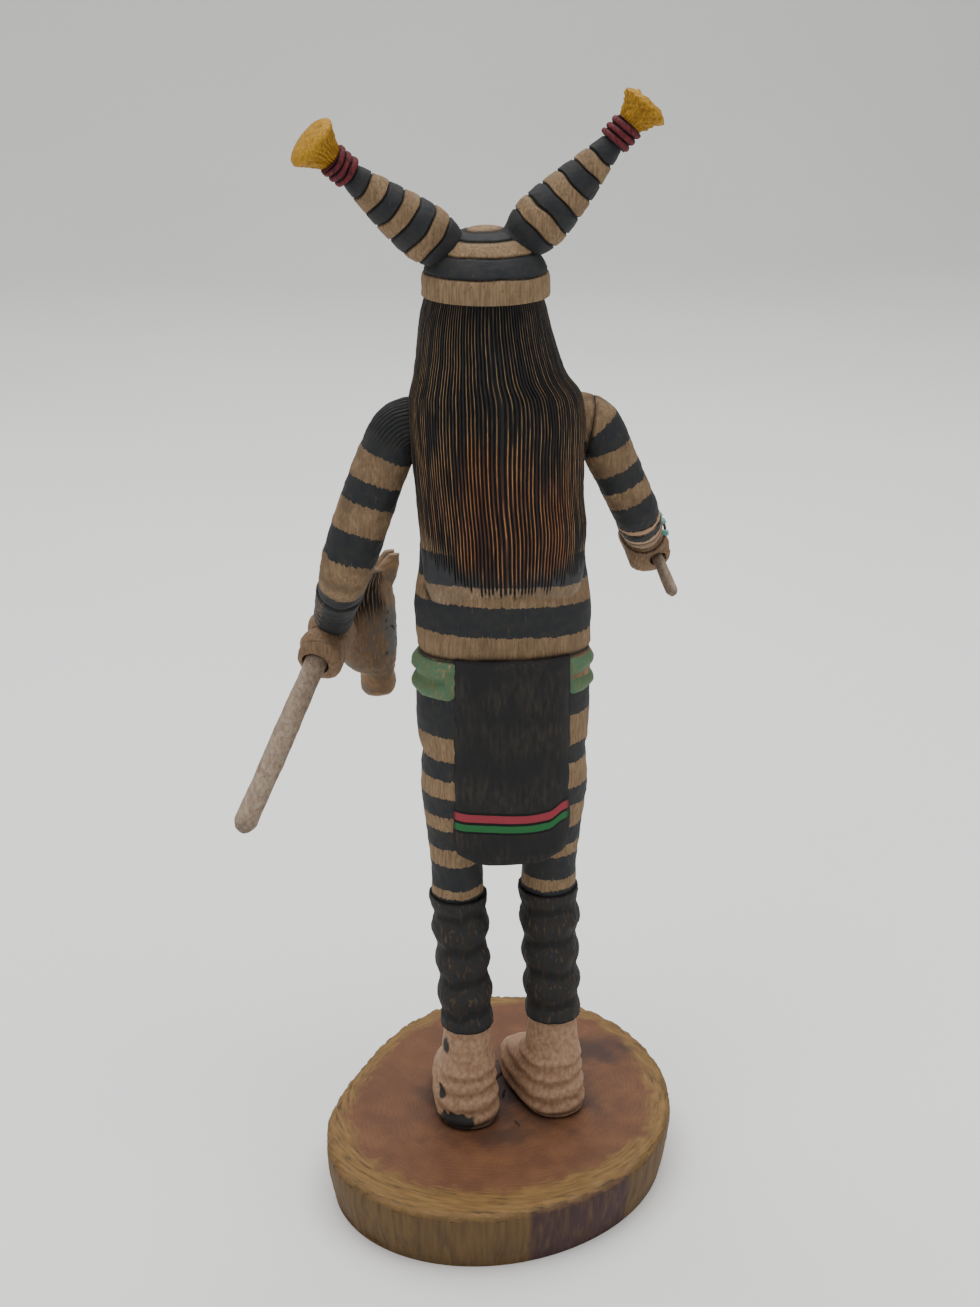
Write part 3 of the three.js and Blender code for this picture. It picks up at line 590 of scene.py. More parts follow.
def wood_colour(tree, colours, stained=0.6):
    """Root wood: a tan ground with darker streaks along the grain, brown flecks and a warm stain."""
    streak = ramp(tree, grain_noise(tree, 0.5), 0.38, 0.66)
    ground = mix(tree, streak, colours.tan, colours.tan_streak)
    fleck = ramp(tree, grain_noise(tree, 0.35, stretch=3.0, detail=5.0), 0.60, 0.72)
    flecked = mix(tree, fleck, ground, colours.tan_fleck)
    stain = ramp(tree, blotch_noise(tree, 6, 5.0), 0.40, 0.62)
    warm = calc(tree, "MULTIPLY", stain, stained)
    return mix(tree, warm, flecked, colours.tan_warm)


def paint_colour(tree, colours):
    """Thin black earth paint: blue-black, with brown where the wood grins through."""
    mottle = ramp(tree, blotch_noise(tree, 2.5, 4.0), 0.35, 0.7)
    return mix(tree, mottle, colours.paint, colours.paint_light)


def band_mask(tree, bands, dark_first, ragged_mm):
    """1 where the black bands are. Their edges follow the grain in small ragged steps."""
    along = attribute(tree, "along")
    rough = grain_noise(tree, 0.55, stretch=7.0, detail=2.5)
    wander = blotch_noise(tree, 5.0)
    shift = calc(tree, "ADD", rough, -0.5)
    shift = calc(tree, "MULTIPLY_ADD", shift, 2.8 * ragged_mm, along)
    drift = calc(tree, "ADD", wander, -0.5)
    shift = calc(tree, "MULTIPLY_ADD", drift, 2.0 * ragged_mm, shift)
    low, high = bands[0], bands[-1]
    share = rescaled(tree, shift, low, high, 0.0, 1.0)
    stops = []
    for i, edge in enumerate(bands[:-1]):
        dark = (i % 2 == 0) == dark_first
        stops.append(((edge - low) / (high - low), WHITE if dark else BLACK))
    return add(tree, "ValToRGB", {0: share}, stops=stops, stepped=True)


def striped_material(name, colours, bands, dark_first, ragged_mm, stained, cuff):
    """Cottonwood root, cut with a knife and painted by hand in black bands.
    It is matt, with ragged edges where the thin paint ran along the grain."""
    material, tree = new_material(name)
    mask = band_mask(tree, bands, dark_first, ragged_mm)
    worn = ramp(tree, grain_noise(tree, 0.5, stretch=8.0, detail=4.0), 0.66, 0.80)
    thin = calc(tree, "MULTIPLY_ADD", worn, -0.55, 1.0)
    cover = calc(tree, "MULTIPLY", mask, thin)
    ground = wood_colour(tree, colours, stained)
    if cuff is not None:
        beyond = calc(tree, "GREATER_THAN", attribute(tree, "along"), cuff)
        ground = mix(tree, beyond, ground, colours.moccasin)
    painted = mix(tree, cover, ground, paint_colour(tree, colours))
    dark_line_and_shade = in_grooves(tree, painted, colours.dark_line_and_shade)
    fibres = grain_noise(tree, 0.3, stretch=9.0, detail=4.0)
    rough = rescaled(tree, mask, 0.0, 1.0, 0.86, 0.74)
    finish_material(tree, dark_line_and_shade, rough, fibres, 0.12, Specular_IOR_Level=0.3)
    return material


def plain_wood_material(name, colours, ground, streak, width_mm=0.6, along="Z", gloss=0.8):
    """Bare or stained wood, rubbed smooth by hand. It shows long streaks and small pores."""
    material, tree = new_material(name)
    streaks = ramp(tree, grain_noise(tree, width_mm, along=along), 0.36, 0.68)
    base = mix(tree, streaks, ground, streak)
    fleck = ramp(tree, grain_noise(tree, 0.4, stretch=4.0, detail=5.0, along=along), 0.62, 0.72)
    flecked = mix(tree, fleck, base, colours.tan_fleck)
    dark_line_and_shade = in_grooves(tree, flecked, colours.dark_line_and_shade)
    fibres = grain_noise(tree, 0.3, stretch=9.0, detail=4.0, along=along)
    finish_material(tree, dark_line_and_shade, gloss, fibres, 0.1, Specular_IOR_Level=0.35)
    return material


def mottled_paint_material(name, first, second, dark_line_and_shade, size_mm=1.6, gloss=0.75, wear=None, stretch=3.0):
    """Earth paint brushed on wood. It is matt and uneven. Its cut lines and painted marks are dark, and some of
    its creases and hollows get painted shade.
    """
    material, tree = new_material(name)
    mottle = ramp(tree, grain_noise(tree, size_mm, stretch=stretch, detail=4.0), 0.36, 0.68)
    base = mix(tree, mottle, first, second)
    if wear is not None:
        bare = ramp(tree, grain_noise(tree, 0.8, stretch=6.0, detail=5.0), 0.56, 0.70)
        crest = attribute(tree, "crest")
        bare = calc(tree, "MULTIPLY", bare, crest)
        base = mix(tree, bare, base, wear)
    dark = in_grooves(tree, base, dark_line_and_shade)
    fibres = grain_noise(tree, 0.35, stretch=6.0, detail=4.0)
    finish_material(tree, dark, gloss, fibres, 0.12, Specular_IOR_Level=0.3)
    return material


def hair_material(colours):
    """Hair burned into the wood with a hot point. The strokes are charred, the wood between them is
    scorched brown, and a thin line on each crest keeps the gold of the bare wood."""
    material, tree = new_material("burned_root_wood_hair")
    phase = attribute(tree, "phase")
    along = attribute(tree, "along")
    tone = attribute(tree, "tone")
    crest = calc(tree, "ROUND", phase)
    away = calc(tree, "SUBTRACT", phase, crest)
    away = calc(tree, "ABSOLUTE", away)
    number = calc(tree, "MULTIPLY", crest, 3.17)
    down = calc(tree, "MULTIPLY", along, 0.045)
    stroke = add(tree, "CombineXYZ", {0: number, 1: down})
    dashes = add(tree, "TexNoise", {"Vector": stroke, "Scale": 1.0, "Detail": 2.0})
    tremble = grain_noise(tree, 0.35, stretch=10.0, detail=3.0)
    away = calc(tree, "MULTIPLY_ADD", tremble, 0.16, away)
    wide = add(tree, "ValToRGB", {0: away}, stops=[(0.25, WHITE), (0.36, BLACK)])
    thin = add(tree, "ValToRGB", {0: away}, stops=[(0.10, WHITE), (0.18, BLACK)])
    warmth = calc(tree, "MULTIPLY_ADD", dashes, 1.5, tone)
    warmth = calc(tree, "ADD", warmth, -0.45)
    warm = ramp(tree, warmth, 0.55, 0.98)
    brown = mix(tree, warm, colours.char_brown, colours.scorched)
    lit = ramp(tree, dashes, 0.44, 0.575)
    crown = rescaled(tree, along, 188.0, 224.0, 0.0, 0.55)
    lower = calc(tree, "SUBTRACT", 1.0, crown)
    lit = calc(tree, "MULTIPLY", lit, lower)
    gilt = calc(tree, "MULTIPLY", thin, lit)
    gold = mix(tree, tone, colours.hair_gold, colours.hair_amber)
    brown = mix(tree, crown, brown, colours.crown_black)
    hair = mix(tree, wide, colours.char, brown)
    hair = mix(tree, gilt, hair, gold)
    mask = band_mask(tree, TORSO_BANDS, True, 0.55)
    skin = mix(tree, mask, wood_colour(tree, colours), paint_colour(tree, colours))
    gap = calc(tree, "MULTIPLY_ADD", wide, -1.0, 1.0)
    stroke_shown = calc(tree, "MULTIPLY", gap, attribute(tree, "drawn"))
    burned = mix(tree, stroke_shown, skin, colours.char)
    whole = mix(tree, attribute(tree, "bare"), hair, burned)
    fibres = grain_noise(tree, 0.3, stretch=9.0, detail=4.0)
    finish_material(tree, whole, 0.55, fibres, 0.08, Specular_IOR_Level=0.35)
    return material


def flap_material(colours):
    """Black cloth of the breechcloth, painted on wood, with a red and a green line near its hem."""
    material, tree = new_material("charcoal_painted_root_wood")
    mottle = ramp(tree, grain_noise(tree, 1.1, stretch=4.0, detail=5.0), 0.40, 0.66)
    cloth = mix(tree, mottle, colours.cloth_dark, colours.cloth_brown)
    blot = ramp(tree, blotch_noise(tree, 11, 3.0), 0.42, 0.62)
    cloth = mix(tree, blot, cloth, colours.cloth_dark)
    low, high = 80.0, 100.0
    share = rescaled(tree, attribute(tree, "along"), low, high, 0.0, 1.0)
    lines = [(80, "none"), (88.1, "black"), (88.8, "green"), (90.8, "black"), (91.7, "red"), (94.0, "black"),
             (94.8, "none")]
    tints = {"none": (0, 0, 0, 0), "black": colours.char, "green": colours.hem_green, "red": colours.hem_red}
    stops = [((z - low) / (high - low), tints[name]) for z, name in lines]
    hem = add(tree, "ValToRGB", {0: share}, stops=stops, stepped=True)
    shown = [((z - low) / (high - low), BLACK if name == "none" else WHITE) for z, name in lines]
    cover = add(tree, "ValToRGB", {0: share}, stops=shown, stepped=True)
    whole = mix(tree, cover, cloth, hem)
    dark = in_grooves(tree, whole, colours.char)
    fibres = grain_noise(tree, 0.35, stretch=9.0, detail=4.0)
    finish_material(tree, dark, 0.8, fibres, 0.14, Specular_IOR_Level=0.3)
    return material


def face_material(colours):
    """The face: pale paint, with a black ring round each eye and round the mouth."""
    material, tree = new_material("pale_painted_root_wood_face")
    place = add(tree, "TexCoord", out=3)
    whole = mix(tree, ramp(tree, blotch_noise(tree, 3), 0.4, 0.7), colours.face, colours.tan)
    for _, x, z, _, (wide, tall), pupil in FEATURES:
        centre = placed([HEAD_X + x, HEAD_Y - 14, z])
        scale = [1 / (wide * MM * GROW), 0.0, 1 / (tall * MM * GROW)]
        shift = [-c * s for c, s in zip(centre, scale)]
        moved = add(tree, "Mapping", {"Vector": place, "Scale": scale, "Location": shift})
        away = add(tree, "VectorMath", {0: moved}, out=1, operation="LENGTH")
        ring = [(0.0, colours.char), (pupil, colours.face), (0.66, colours.char)]
        tint = add(tree, "ValToRGB", {0: away}, stops=ring, stepped=True)
        inside = calc(tree, "LESS_THAN", away, 1.0)
        whole = mix(tree, inside, whole, tint)
    finish_material(tree, whole, 0.75, grain_noise(tree, 0.3, stretch=9.0), 0.1, Specular_IOR_Level=0.3)
    return material


def slice_material(colours):
    """A slice of juniper trunk: red-brown heartwood with growth rings, pale sapwood at the rim, and a
    rough side with streaks along the trunk. A little oil gives it a soft gloss."""
    material, tree = new_material("oiled_juniper_slice")
    radial = attribute(tree, "radial")
    side = attribute(tree, "side")
    wobble = blotch_noise(tree, 14, 3.0)
    ring_at = calc(tree, "MULTIPLY_ADD", wobble, 0.16, radial)
    turns = calc(tree, "MULTIPLY", ring_at, TURN * 38)
    wave = calc(tree, "SINE", turns)
    ring = ramp(tree, wave, 0.2, 1.0)
    faint = calc(tree, "MULTIPLY", ring, blotch_noise(tree, 5, 3.0))
    faint = calc(tree, "MULTIPLY", faint, 0.42)
    heart = mix(tree, ramp(tree, blotch_noise(tree, 7, 5.0), 0.35, 0.7), colours.heartwood, colours.heart_light)
    heart = mix(tree, faint, heart, colours.heart_dark)
    speck = ramp(tree, blotch_noise(tree, 0.7, 3.0), 0.60, 0.74)
    speck = calc(tree, "MULTIPLY", speck, 0.5)
    heart = mix(tree, speck, heart, colours.heart_dark)
    heart = mix(tree, attribute(tree, "stain"), heart, colours.base_stain)
    sap_at = attribute(tree, "sap")
    fray = calc(tree, "MULTIPLY_ADD", blotch_noise(tree, 5.0, 7.0), 0.2, sap_at)
    sap_mask = ramp(tree, fray, 0.94, 1.02)
    parts = [attribute(tree, name) for name in ("east", "north", "outward")]
    polar = add(tree, "CombineXYZ", dict(enumerate(parts)))
    fibres = add(tree, "TexNoise", {"Vector": polar, "Scale": 1.0, "Detail": 4.0})
    sap = mix(tree, ramp(tree, fibres, 0.36, 0.66), colours.sapwood, colours.sap_dark)
    gap = calc(tree, "MULTIPLY", ramp(tree, fibres, 0.62, 0.68), 0.6)
    sap = mix(tree, gap, sap, colours.base_stain)
    top = mix(tree, sap_mask, heart, sap)
    streak = ramp(tree, grain_noise(tree, 1.3, stretch=14.0, detail=5.0), 0.36, 0.70)
    flank = mix(tree, streak, colours.side_wood, colours.side_streak)
    patch = grain_noise(tree, 1.2, stretch=7.0, detail=5.0)
    patch = ramp(tree, calc(tree, "MULTIPLY_ADD", patch, 0.7, attribute(tree, "bark")), 0.72, 1.0)
    flank = mix(tree, patch, flank, colours.side_purple)
    whole = mix(tree, side, top, flank)
    whole = in_grooves(tree, whole, colours.char)
    rough = rescaled(tree, side, 0.0, 1.0, 0.6, 0.8)
    pores = blotch_noise(tree, 0.6, 5.0)
    finish_material(tree, whole, rough, pores, 0.2, Specular_IOR_Level=0.4)
    return material


def turquoise_material(colours):
    """Chips of turquoise, rubbed but not polished: waxy blue-green with a little brown matrix."""
    material, tree = new_material("rubbed_turquoise")
    blot = ramp(tree, blotch_noise(tree, 1.2, 3.0), 0.35, 0.7)
    base = mix(tree, blot, colours.turquoise, colours.turquoise_pale)
    vein = ramp(tree, blotch_noise(tree, 0.6, 5.0), 0.64, 0.70)
    veined = mix(tree, vein, base, colours.tan_fleck)
    finish_material(tree, veined, 0.4, blotch_noise(tree, 0.3), 0.05)
    return material


def horse_material(colours):
    """The horse's head: brown paint rubbed through to tan wood, a grey cheek with black spots, and a mane
    whose cut locks are black in their depths and tan on their crests."""
    material, tree = new_material("painted_root_wood_horse")
    base = mix(tree, ramp(tree, grain_noise(tree, 0.9, 4.0), 0.35, 0.7), colours.horse, colours.skin_dark)
    base = mix(tree, ramp(tree, grain_noise(tree, 0.45, 7.0), 0.58, 0.68), base, colours.tan)
    bare = mix(tree, ramp(tree, grain_noise(tree, 0.5), 0.4, 0.7), colours.horse_tan, colours.horse)
    dull = calc(tree, "MULTIPLY", ramp(tree, blotch_noise(tree, 3.5, 5.0), 0.45, 0.62), 0.6)
    base = mix(tree, dull, base, colours.horse_grey)
    bare = mix(tree, dull, bare, colours.horse_grey)
    whole = mix(tree, attribute(tree, "tan"), base, bare)
    spots = ramp(tree, blotch_noise(tree, 1.8, 3.0), 0.60, 0.66)
    grey = mix(tree, spots, colours.horse_grey, colours.char)
    whole = mix(tree, attribute(tree, "cheek"), whole, grey)
    strand = add(tree, "ValToRGB", {0: attribute(tree, "lock")}, stops=[
        (0.0, colours.char), (0.6, colours.char_brown), (0.82, colours.skin_dark), (1.0, colours.horse_tan)])
    whole = mix(tree, attribute(tree, "mane"), whole, strand)
    finish_material(tree, whole, 0.7, grain_noise(tree, 0.3, 6.0), 0.12, Specular_IOR_Level=0.35)
    return material


def studio_material(colours):
    """A seamless sheet of matt studio paper, without grain at this distance."""
    material, tree = new_material("matt_studio_paper")
    cloud = ramp(tree, blotch_noise(tree, 400, 2.0), 0.3, 0.7)
    paper = mix(tree, cloud, colours.paper, colours.paper_shade)
    finish_material(tree, paper, 0.9)
    return material


def colour_property(name, hex_colour, description):
    """A colour that the panel's user can change."""
    return bpy.props.FloatVectorProperty(
        name=name, description=description, subtype="COLOR", size=4, min=0, max=1, default=linear(hex_colour))


class DollColours(bpy.types.PropertyGroup):
    """The paints, woods and stone of the doll."""
    tan: colour_property("Bare root", "#8e7659", "Bare cottonwood root")
    tan_streak: colour_property("Root streak", "#6f5a43", "Darker streaks along the grain")
    tan_fleck: colour_property("Root fleck", "#553c28", "Small brown flecks in the wood")
    tan_warm: colour_property("Root stain", "#624f3c", "Warm, handled patches")
    paint: colour_property("Black paint", "#23262a", "Blue-black earth paint of the bands")
    paint_light: colour_property("Thin black paint", "#2f2e2c", "Where the black paint is thin")
    # Also the painted shade in the creases between the fingers of the fists.
    dark_line_and_shade: colour_property("Burned line", "#15110e", "Lines burned or cut between bands")
    # Char is also the painted shade of the leggings' ends and troughs, and between the turns of the bindings.
    char: colour_property("Char", "#0c0a0a", "Charred grooves of the hair")
    char_brown: colour_property("Dark hair", "#1a1310", "Hair crests near the cap")
    crown_black: colour_property("Crown hair", "#15171d", "Blue-black hair close under the cap")
    scorched: colour_property("Brown hair", "#4d2614", "Scorched hair crests lower down")
    hair_gold: colour_property("Gold hair", "#c49c66", "Wood left bare on a crest")
    hair_amber: colour_property("Amber hair", "#a5672f", "Crests that the heat turned amber")
    cloth_dark: colour_property("Cloth", "#1f1f20", "Black cloth of the breechcloth")
    cloth_brown: colour_property("Worn cloth", "#332f2a", "Worn paint on the cloth")
    hem_red: colour_property("Hem red", "#91353f", "Red line of the hem")
    hem_green: colour_property("Hem green", "#256738", "Green line of the hem")
    belt_green: colour_property("Belt", "#4b6e53", "Green of the belt")
    belt_olive: colour_property("Worn belt", "#606948", "Belt paint worn to olive")
    legging: colour_property("Legging", "#2d2823", "Dark fur of the leggings")
    legging_worn: colour_property("Worn legging", "#584633", "Brown wood on the ridges")
    moccasin: colour_property("Moccasin", "#a8886d", "Soft pink-tan of the moccasins")
    moccasin_dark: colour_property("Moccasin fold", "#8b6c54", "Shade in the folds")
    skin: colour_property("Hand", "#8a7056", "Brown of the hands")
    skin_dark: colour_property("Hand shade", "#6b543f", "Darker brown of the hands")
    face: colour_property("Face", "#ab926e", "Pale face paint")
    red: colour_property("Binding", "#71262c", "Red binding of the horns")
    red_dark: colour_property("Binding shade", "#3a1820", "Dark red between the turns")
    yellow: colour_property("Tassel", "#b78919", "Yellow of the tassels")
    # Also the painted shade between the tassels' fibres and in the dips of the brushes.
    yellow_dark: colour_property("Tassel shade", "#835c11", "Ochre between the fibres")
    stick: colour_property("Stick", "#958574", "Bare stick")
    stick_dark: colour_property("Stick streak", "#7a6858", "Streaks of the stick")
    horse: colour_property("Horse", "#7d644d", "Brown of the horse's head")
    horse_tan: colour_property("Horse's muzzle", "#876a4a", "Tan wood of the muzzle and the ears")
    horse_grey: colour_property("Horse's cheek", "#5e5a54", "Grey paint on the cheek")
    turquoise: colour_property("Turquoise", "#519386", "Turquoise chips")
    turquoise_pale: colour_property("Pale turquoise", "#7ba89a", "Pale parts of the chips")
    heartwood: colour_property("Heartwood", "#5f3a22", "Red-brown heart of the slice")
    heart_light: colour_property("Light heartwood", "#70482a", "Lighter heartwood")
    heart_dark: colour_property("Growth ring", "#482a1a", "Late wood of each ring")
    base_stain: colour_property("Stain", "#33211b", "Old stain round the feet")
    sapwood: colour_property("Sapwood", "#846334", "Pale wood at the rim")
    sap_dark: colour_property("Sapwood shade", "#60471f", "Rough dark fibres at the rim")
    side_wood: colour_property("Side", "#67502f", "Side of the slice")
    side_streak: colour_property("Side streak", "#523d27", "Streaks down the side")
    side_purple: colour_property("Inner bark", "#412c2d", "Purple-brown patches of inner bark")
    paper: colour_property("Paper", "#f8f8f6", "Studio paper")
    paper_shade: colour_property("Paper shade", "#f3f3f1", "Slightly darker paper")


class DollSizes(bpy.types.PropertyGroup):
    """Sizes of the carving and of the studio."""
    stroke_depth: bpy.props.FloatProperty(
        name="Stroke depth", description="Depth of the strokes of the hair", default=0.00036, unit="LENGTH", min=0)
    strokes: bpy.props.IntProperty(
        name="Strokes", description="Strokes of hair right round the head", default=142, min=20)
    fibre_depth: bpy.props.FloatProperty(
        name="Fibre depth", description="Depth between the tassels' fibres", default=0.00034, unit="LENGTH", min=0)
    lens: bpy.props.FloatProperty(
        name="Lens", description="Focal length for a 36 mm long side", default=54.37, subtype="DISTANCE_CAMERA")
    reach: bpy.props.FloatProperty(
        name="Reach", description="Level distance from the doll to the camera", default=0.480, unit="LENGTH")
    rise: bpy.props.FloatProperty(
        name="Rise", description="Height of the camera over the top of the base", default=0.3189, unit="LENGTH")
    pitch: bpy.props.FloatProperty(
        name="Pitch", description="How far the camera looks down", default=math.radians(21), subtype="ANGLE")
    swing: bpy.props.FloatProperty(
        name="Swing", description="Camera's turn from straight behind", default=math.radians(6), subtype="ANGLE")
    aside: bpy.props.FloatProperty(
        name="Aside", description="Camera's shift sideways", default=0.00256, unit="LENGTH")


def stripes_of(colours, part):
    """The striped paint of one part of the body, made once."""
    name = "painted_root_wood_" + part
    cuff = RIGHT_ARM_BANDS[6] if part == "right_arm" else None
    return bpy.data.materials.get(name) or striped_material(name, colours, *STRIPES[part], cuff)


def bare_hand(colours):
    """Brown-stained root wood of both hands, made once, with darker streaks along the grain."""
    made = bpy.data.materials.get("stained_root_wood_hand")
    return made or plain_wood_material("stained_root_wood_hand", colours, colours.skin, colours.skin_dark)


def stroke_phase(angle, share, strokes):
    """Which stroke of hair a place is on. The strokes sway a little, as drawn by hand."""
    sway = 0.5 * np.sin(TURN * (0.6 * share + 0.1)) + 0.13 * np.sin(TURN * (1.6 * share) + 3 * angle)
    return angle * strokes / TURN + sway + 0.1 * np.sin(7 * angle + 6 * share)


def stroke_groove(phase):
    """1 in the middle of a stroke and 0 on the crest between two strokes."""
    away = np.abs((phase % 1) - 0.5) * 2
    return 1 - ease(0.12, 0.62, away)


def body_bands(x, z):
    """The height that the bands of the body follow, which tilt a little."""
    return z - BAND_TILT * (x - BAND_PIVOT)


def stroke_ends(stroke, x):
    """How low each stroke reaches: a ragged arc, lower in the middle of the back."""
    draw = np.random.default_rng(11).uniform(0, 1, 4096)
    arc = np.where(x > -1, 0.027, 0.02) * (x + 1) ** 2
    return HAIR_ENDS + arc + 3.4 * draw[np.asarray(stroke).astype(int) % 4096]


def build_hair(scene):
    """The long hair down the back, with every stroke burned in."""
    sizes, colours = scene.doll_sizes, scene.doll_colours
    per_stroke = 8
    start, end = np.radians(HAIR_SEEN)
    fine = np.linspace(start, end, int(sizes.strokes * per_stroke * (end - start) / TURN))
    coarse = np.linspace(end, start + TURN, 14)[1:-1]
    form = carved(HAIR, np.concatenate([fine, coarse]), 96, power=2.25, level=True)
    x, z = form.grid[..., 0], form.grid[..., 2]
    phase = stroke_phase(form.angle, form.share, sizes.strokes)
    ends = stroke_ends(np.floor(phase), x)
    drawn = ease(ends, ends + STROKE_LIFT, z)
    under_cap = 1 - ease(224, 229, z) * 0.6
    depth = sizes.stroke_depth / MM
    raised(form, -depth * stroke_groove(phase) * drawn * under_cap + knife_marks(form, 0.1, 7, 3))
    middle = np.exp(-((x - 3) / 12.5) ** 2) + 0.6 * np.exp(-((x + 13) / 5) ** 2) * ease(192, 176, z)
    low = ease(206, 184, z)
    tone = low * (0.06 + 0.62 * middle) + 0.14 * ripple(form.grid * [1, 1, 0.3], 11, 5)
    carve("hair", form, "figure", hair_material(colours), phase=phase, drawn=drawn, tone=np.clip(tone, 0, 1),
          bare=1 - ease(ends + 1.5, ends + 7, z), along=body_bands(x, z))


def build_torso(scene):
    """The striped body, where the tips of the strokes of hair run on, with a blot of black paint."""
    sizes, colours = scene.doll_sizes, scene.doll_colours
    form = carved(TORSO, 200, 140, power=2.2, level=True)
    x, z = form.grid[..., 0], form.grid[..., 2]
    # The strokes line up with those of the hair above them.
    across = np.clip((x - HAIR[0][0]) / 19.2, -1, 1)
    phase = stroke_phase(np.arccos(np.sign(across) * np.abs(across) ** 1.125), 0.02, sizes.strokes)
    ends = stroke_ends(np.floor(phase), x)
    behind = ease(0.2, 0.5, np.sin(form.angle))
    stroke = stroke_groove(phase) * ease(ends, ends + STROKE_LIFT, z) * (1 - ease(163, 170, z)) * behind
    step = np.exp(-((z - BELT_TOP - 0.6) / 0.5) ** 2)
    raised(form, -0.25 * stroke - 0.5 * step + knife_marks(form, 0.09, 6, 8))
    blot = np.hypot((x - 17.8) / 2.4, (z - 154.2) / 2.6) + 0.2 * ripple(form.grid, 3, 12)
    blot = 0.85 * (1 - ease(0.85, 1.0, blot)) * behind
    groove = np.clip(stroke + step + blot, 0, 1)
    hips = np.where(x < -1, np.interp(z, RIGHT_HIP_BANDS, LEFT_HIP_BANDS), z)
    along = np.where(z < BELT_BOTTOM, hips, body_bands(x, z))
    carve("torso", form, "figure", stripes_of(colours, "torso"), along=along, groove=groove)


def build_belt(scene):
    """The belt, rolled at both sides and hidden by the breechcloth in the middle."""
    colours = scene.doll_colours
    middle = (BELT_BOTTOM + BELT_TOP) / 2
    stations = [
        [-0.7, 0.2, BELT_BOTTOM, 23, 13.9, 14.2],
        [-0.7, 0.2, middle, 23.2, 14.1, 14.4],
        [-0.7, 0.2, BELT_TOP, 23, 13.9, 14.4],
    ]
    form = carved(stations, 220, 48, power=2.2, level=True)
    open_side = ease(14.5, 18.5, np.abs(form.grid[..., 0] + 1.8))
    rolls = BELT_ROLL * np.cos(2 * TURN * (form.share - 0.25)) * open_side - 0.5 * (1 - open_side)
    edge = ease(0, 0.06, form.share) * ease(1, 0.94, form.share)
    raised(form, rolls - 0.6 * (1 - edge) + knife_marks(form, 0.12, 4, 9))
    groove = 1 - ease(0, 0.05, form.share) * ease(1, 0.95, form.share)
    x = form.grid[..., 0]
    crest = np.where(x > 0, 0.25 + 0.75 * ease(21, 16, x), 0.3)
    paint = mottled_paint_material("green_painted_root_wood", colours.belt_green, colours.belt_olive,
                                   colours.char, wear=colours.tan)
    carve("belt", form, "figure", paint, along=form.grid[..., 2], groove=groove, crest=crest)


def build_flaps(scene):
    """The breechcloth, behind and in front. The hem behind kinks up at its right edge."""
    paint = flap_material(scene.doll_colours)
    for name, stations, side, kink in (("flap_behind", FLAP_BEHIND, 1, HEM_KINK),
                                       ("flap_in_front", FLAP_IN_FRONT, -1, 0)):
        form = carved(stations, 160, 84, power=3.4, level=True)
        x, z = form.grid[..., 0], form.grid[..., 2]
        rise = kink * ease(-11.5, -15.8, x) + 0.25 * np.sin(x / 3.1) + 0.0035 * (x + 2) ** 2
        border = np.clip(1 - (15.3 - np.abs(x + 1.9)) / 0.9, 0, 1) * 0.9
        raised(form, knife_marks(form, 0.12, 6, 14 + side))
        carve(name, form, "figure", paint, along=z - rise, groove=border * (np.sin(form.angle) * side > -0.2))


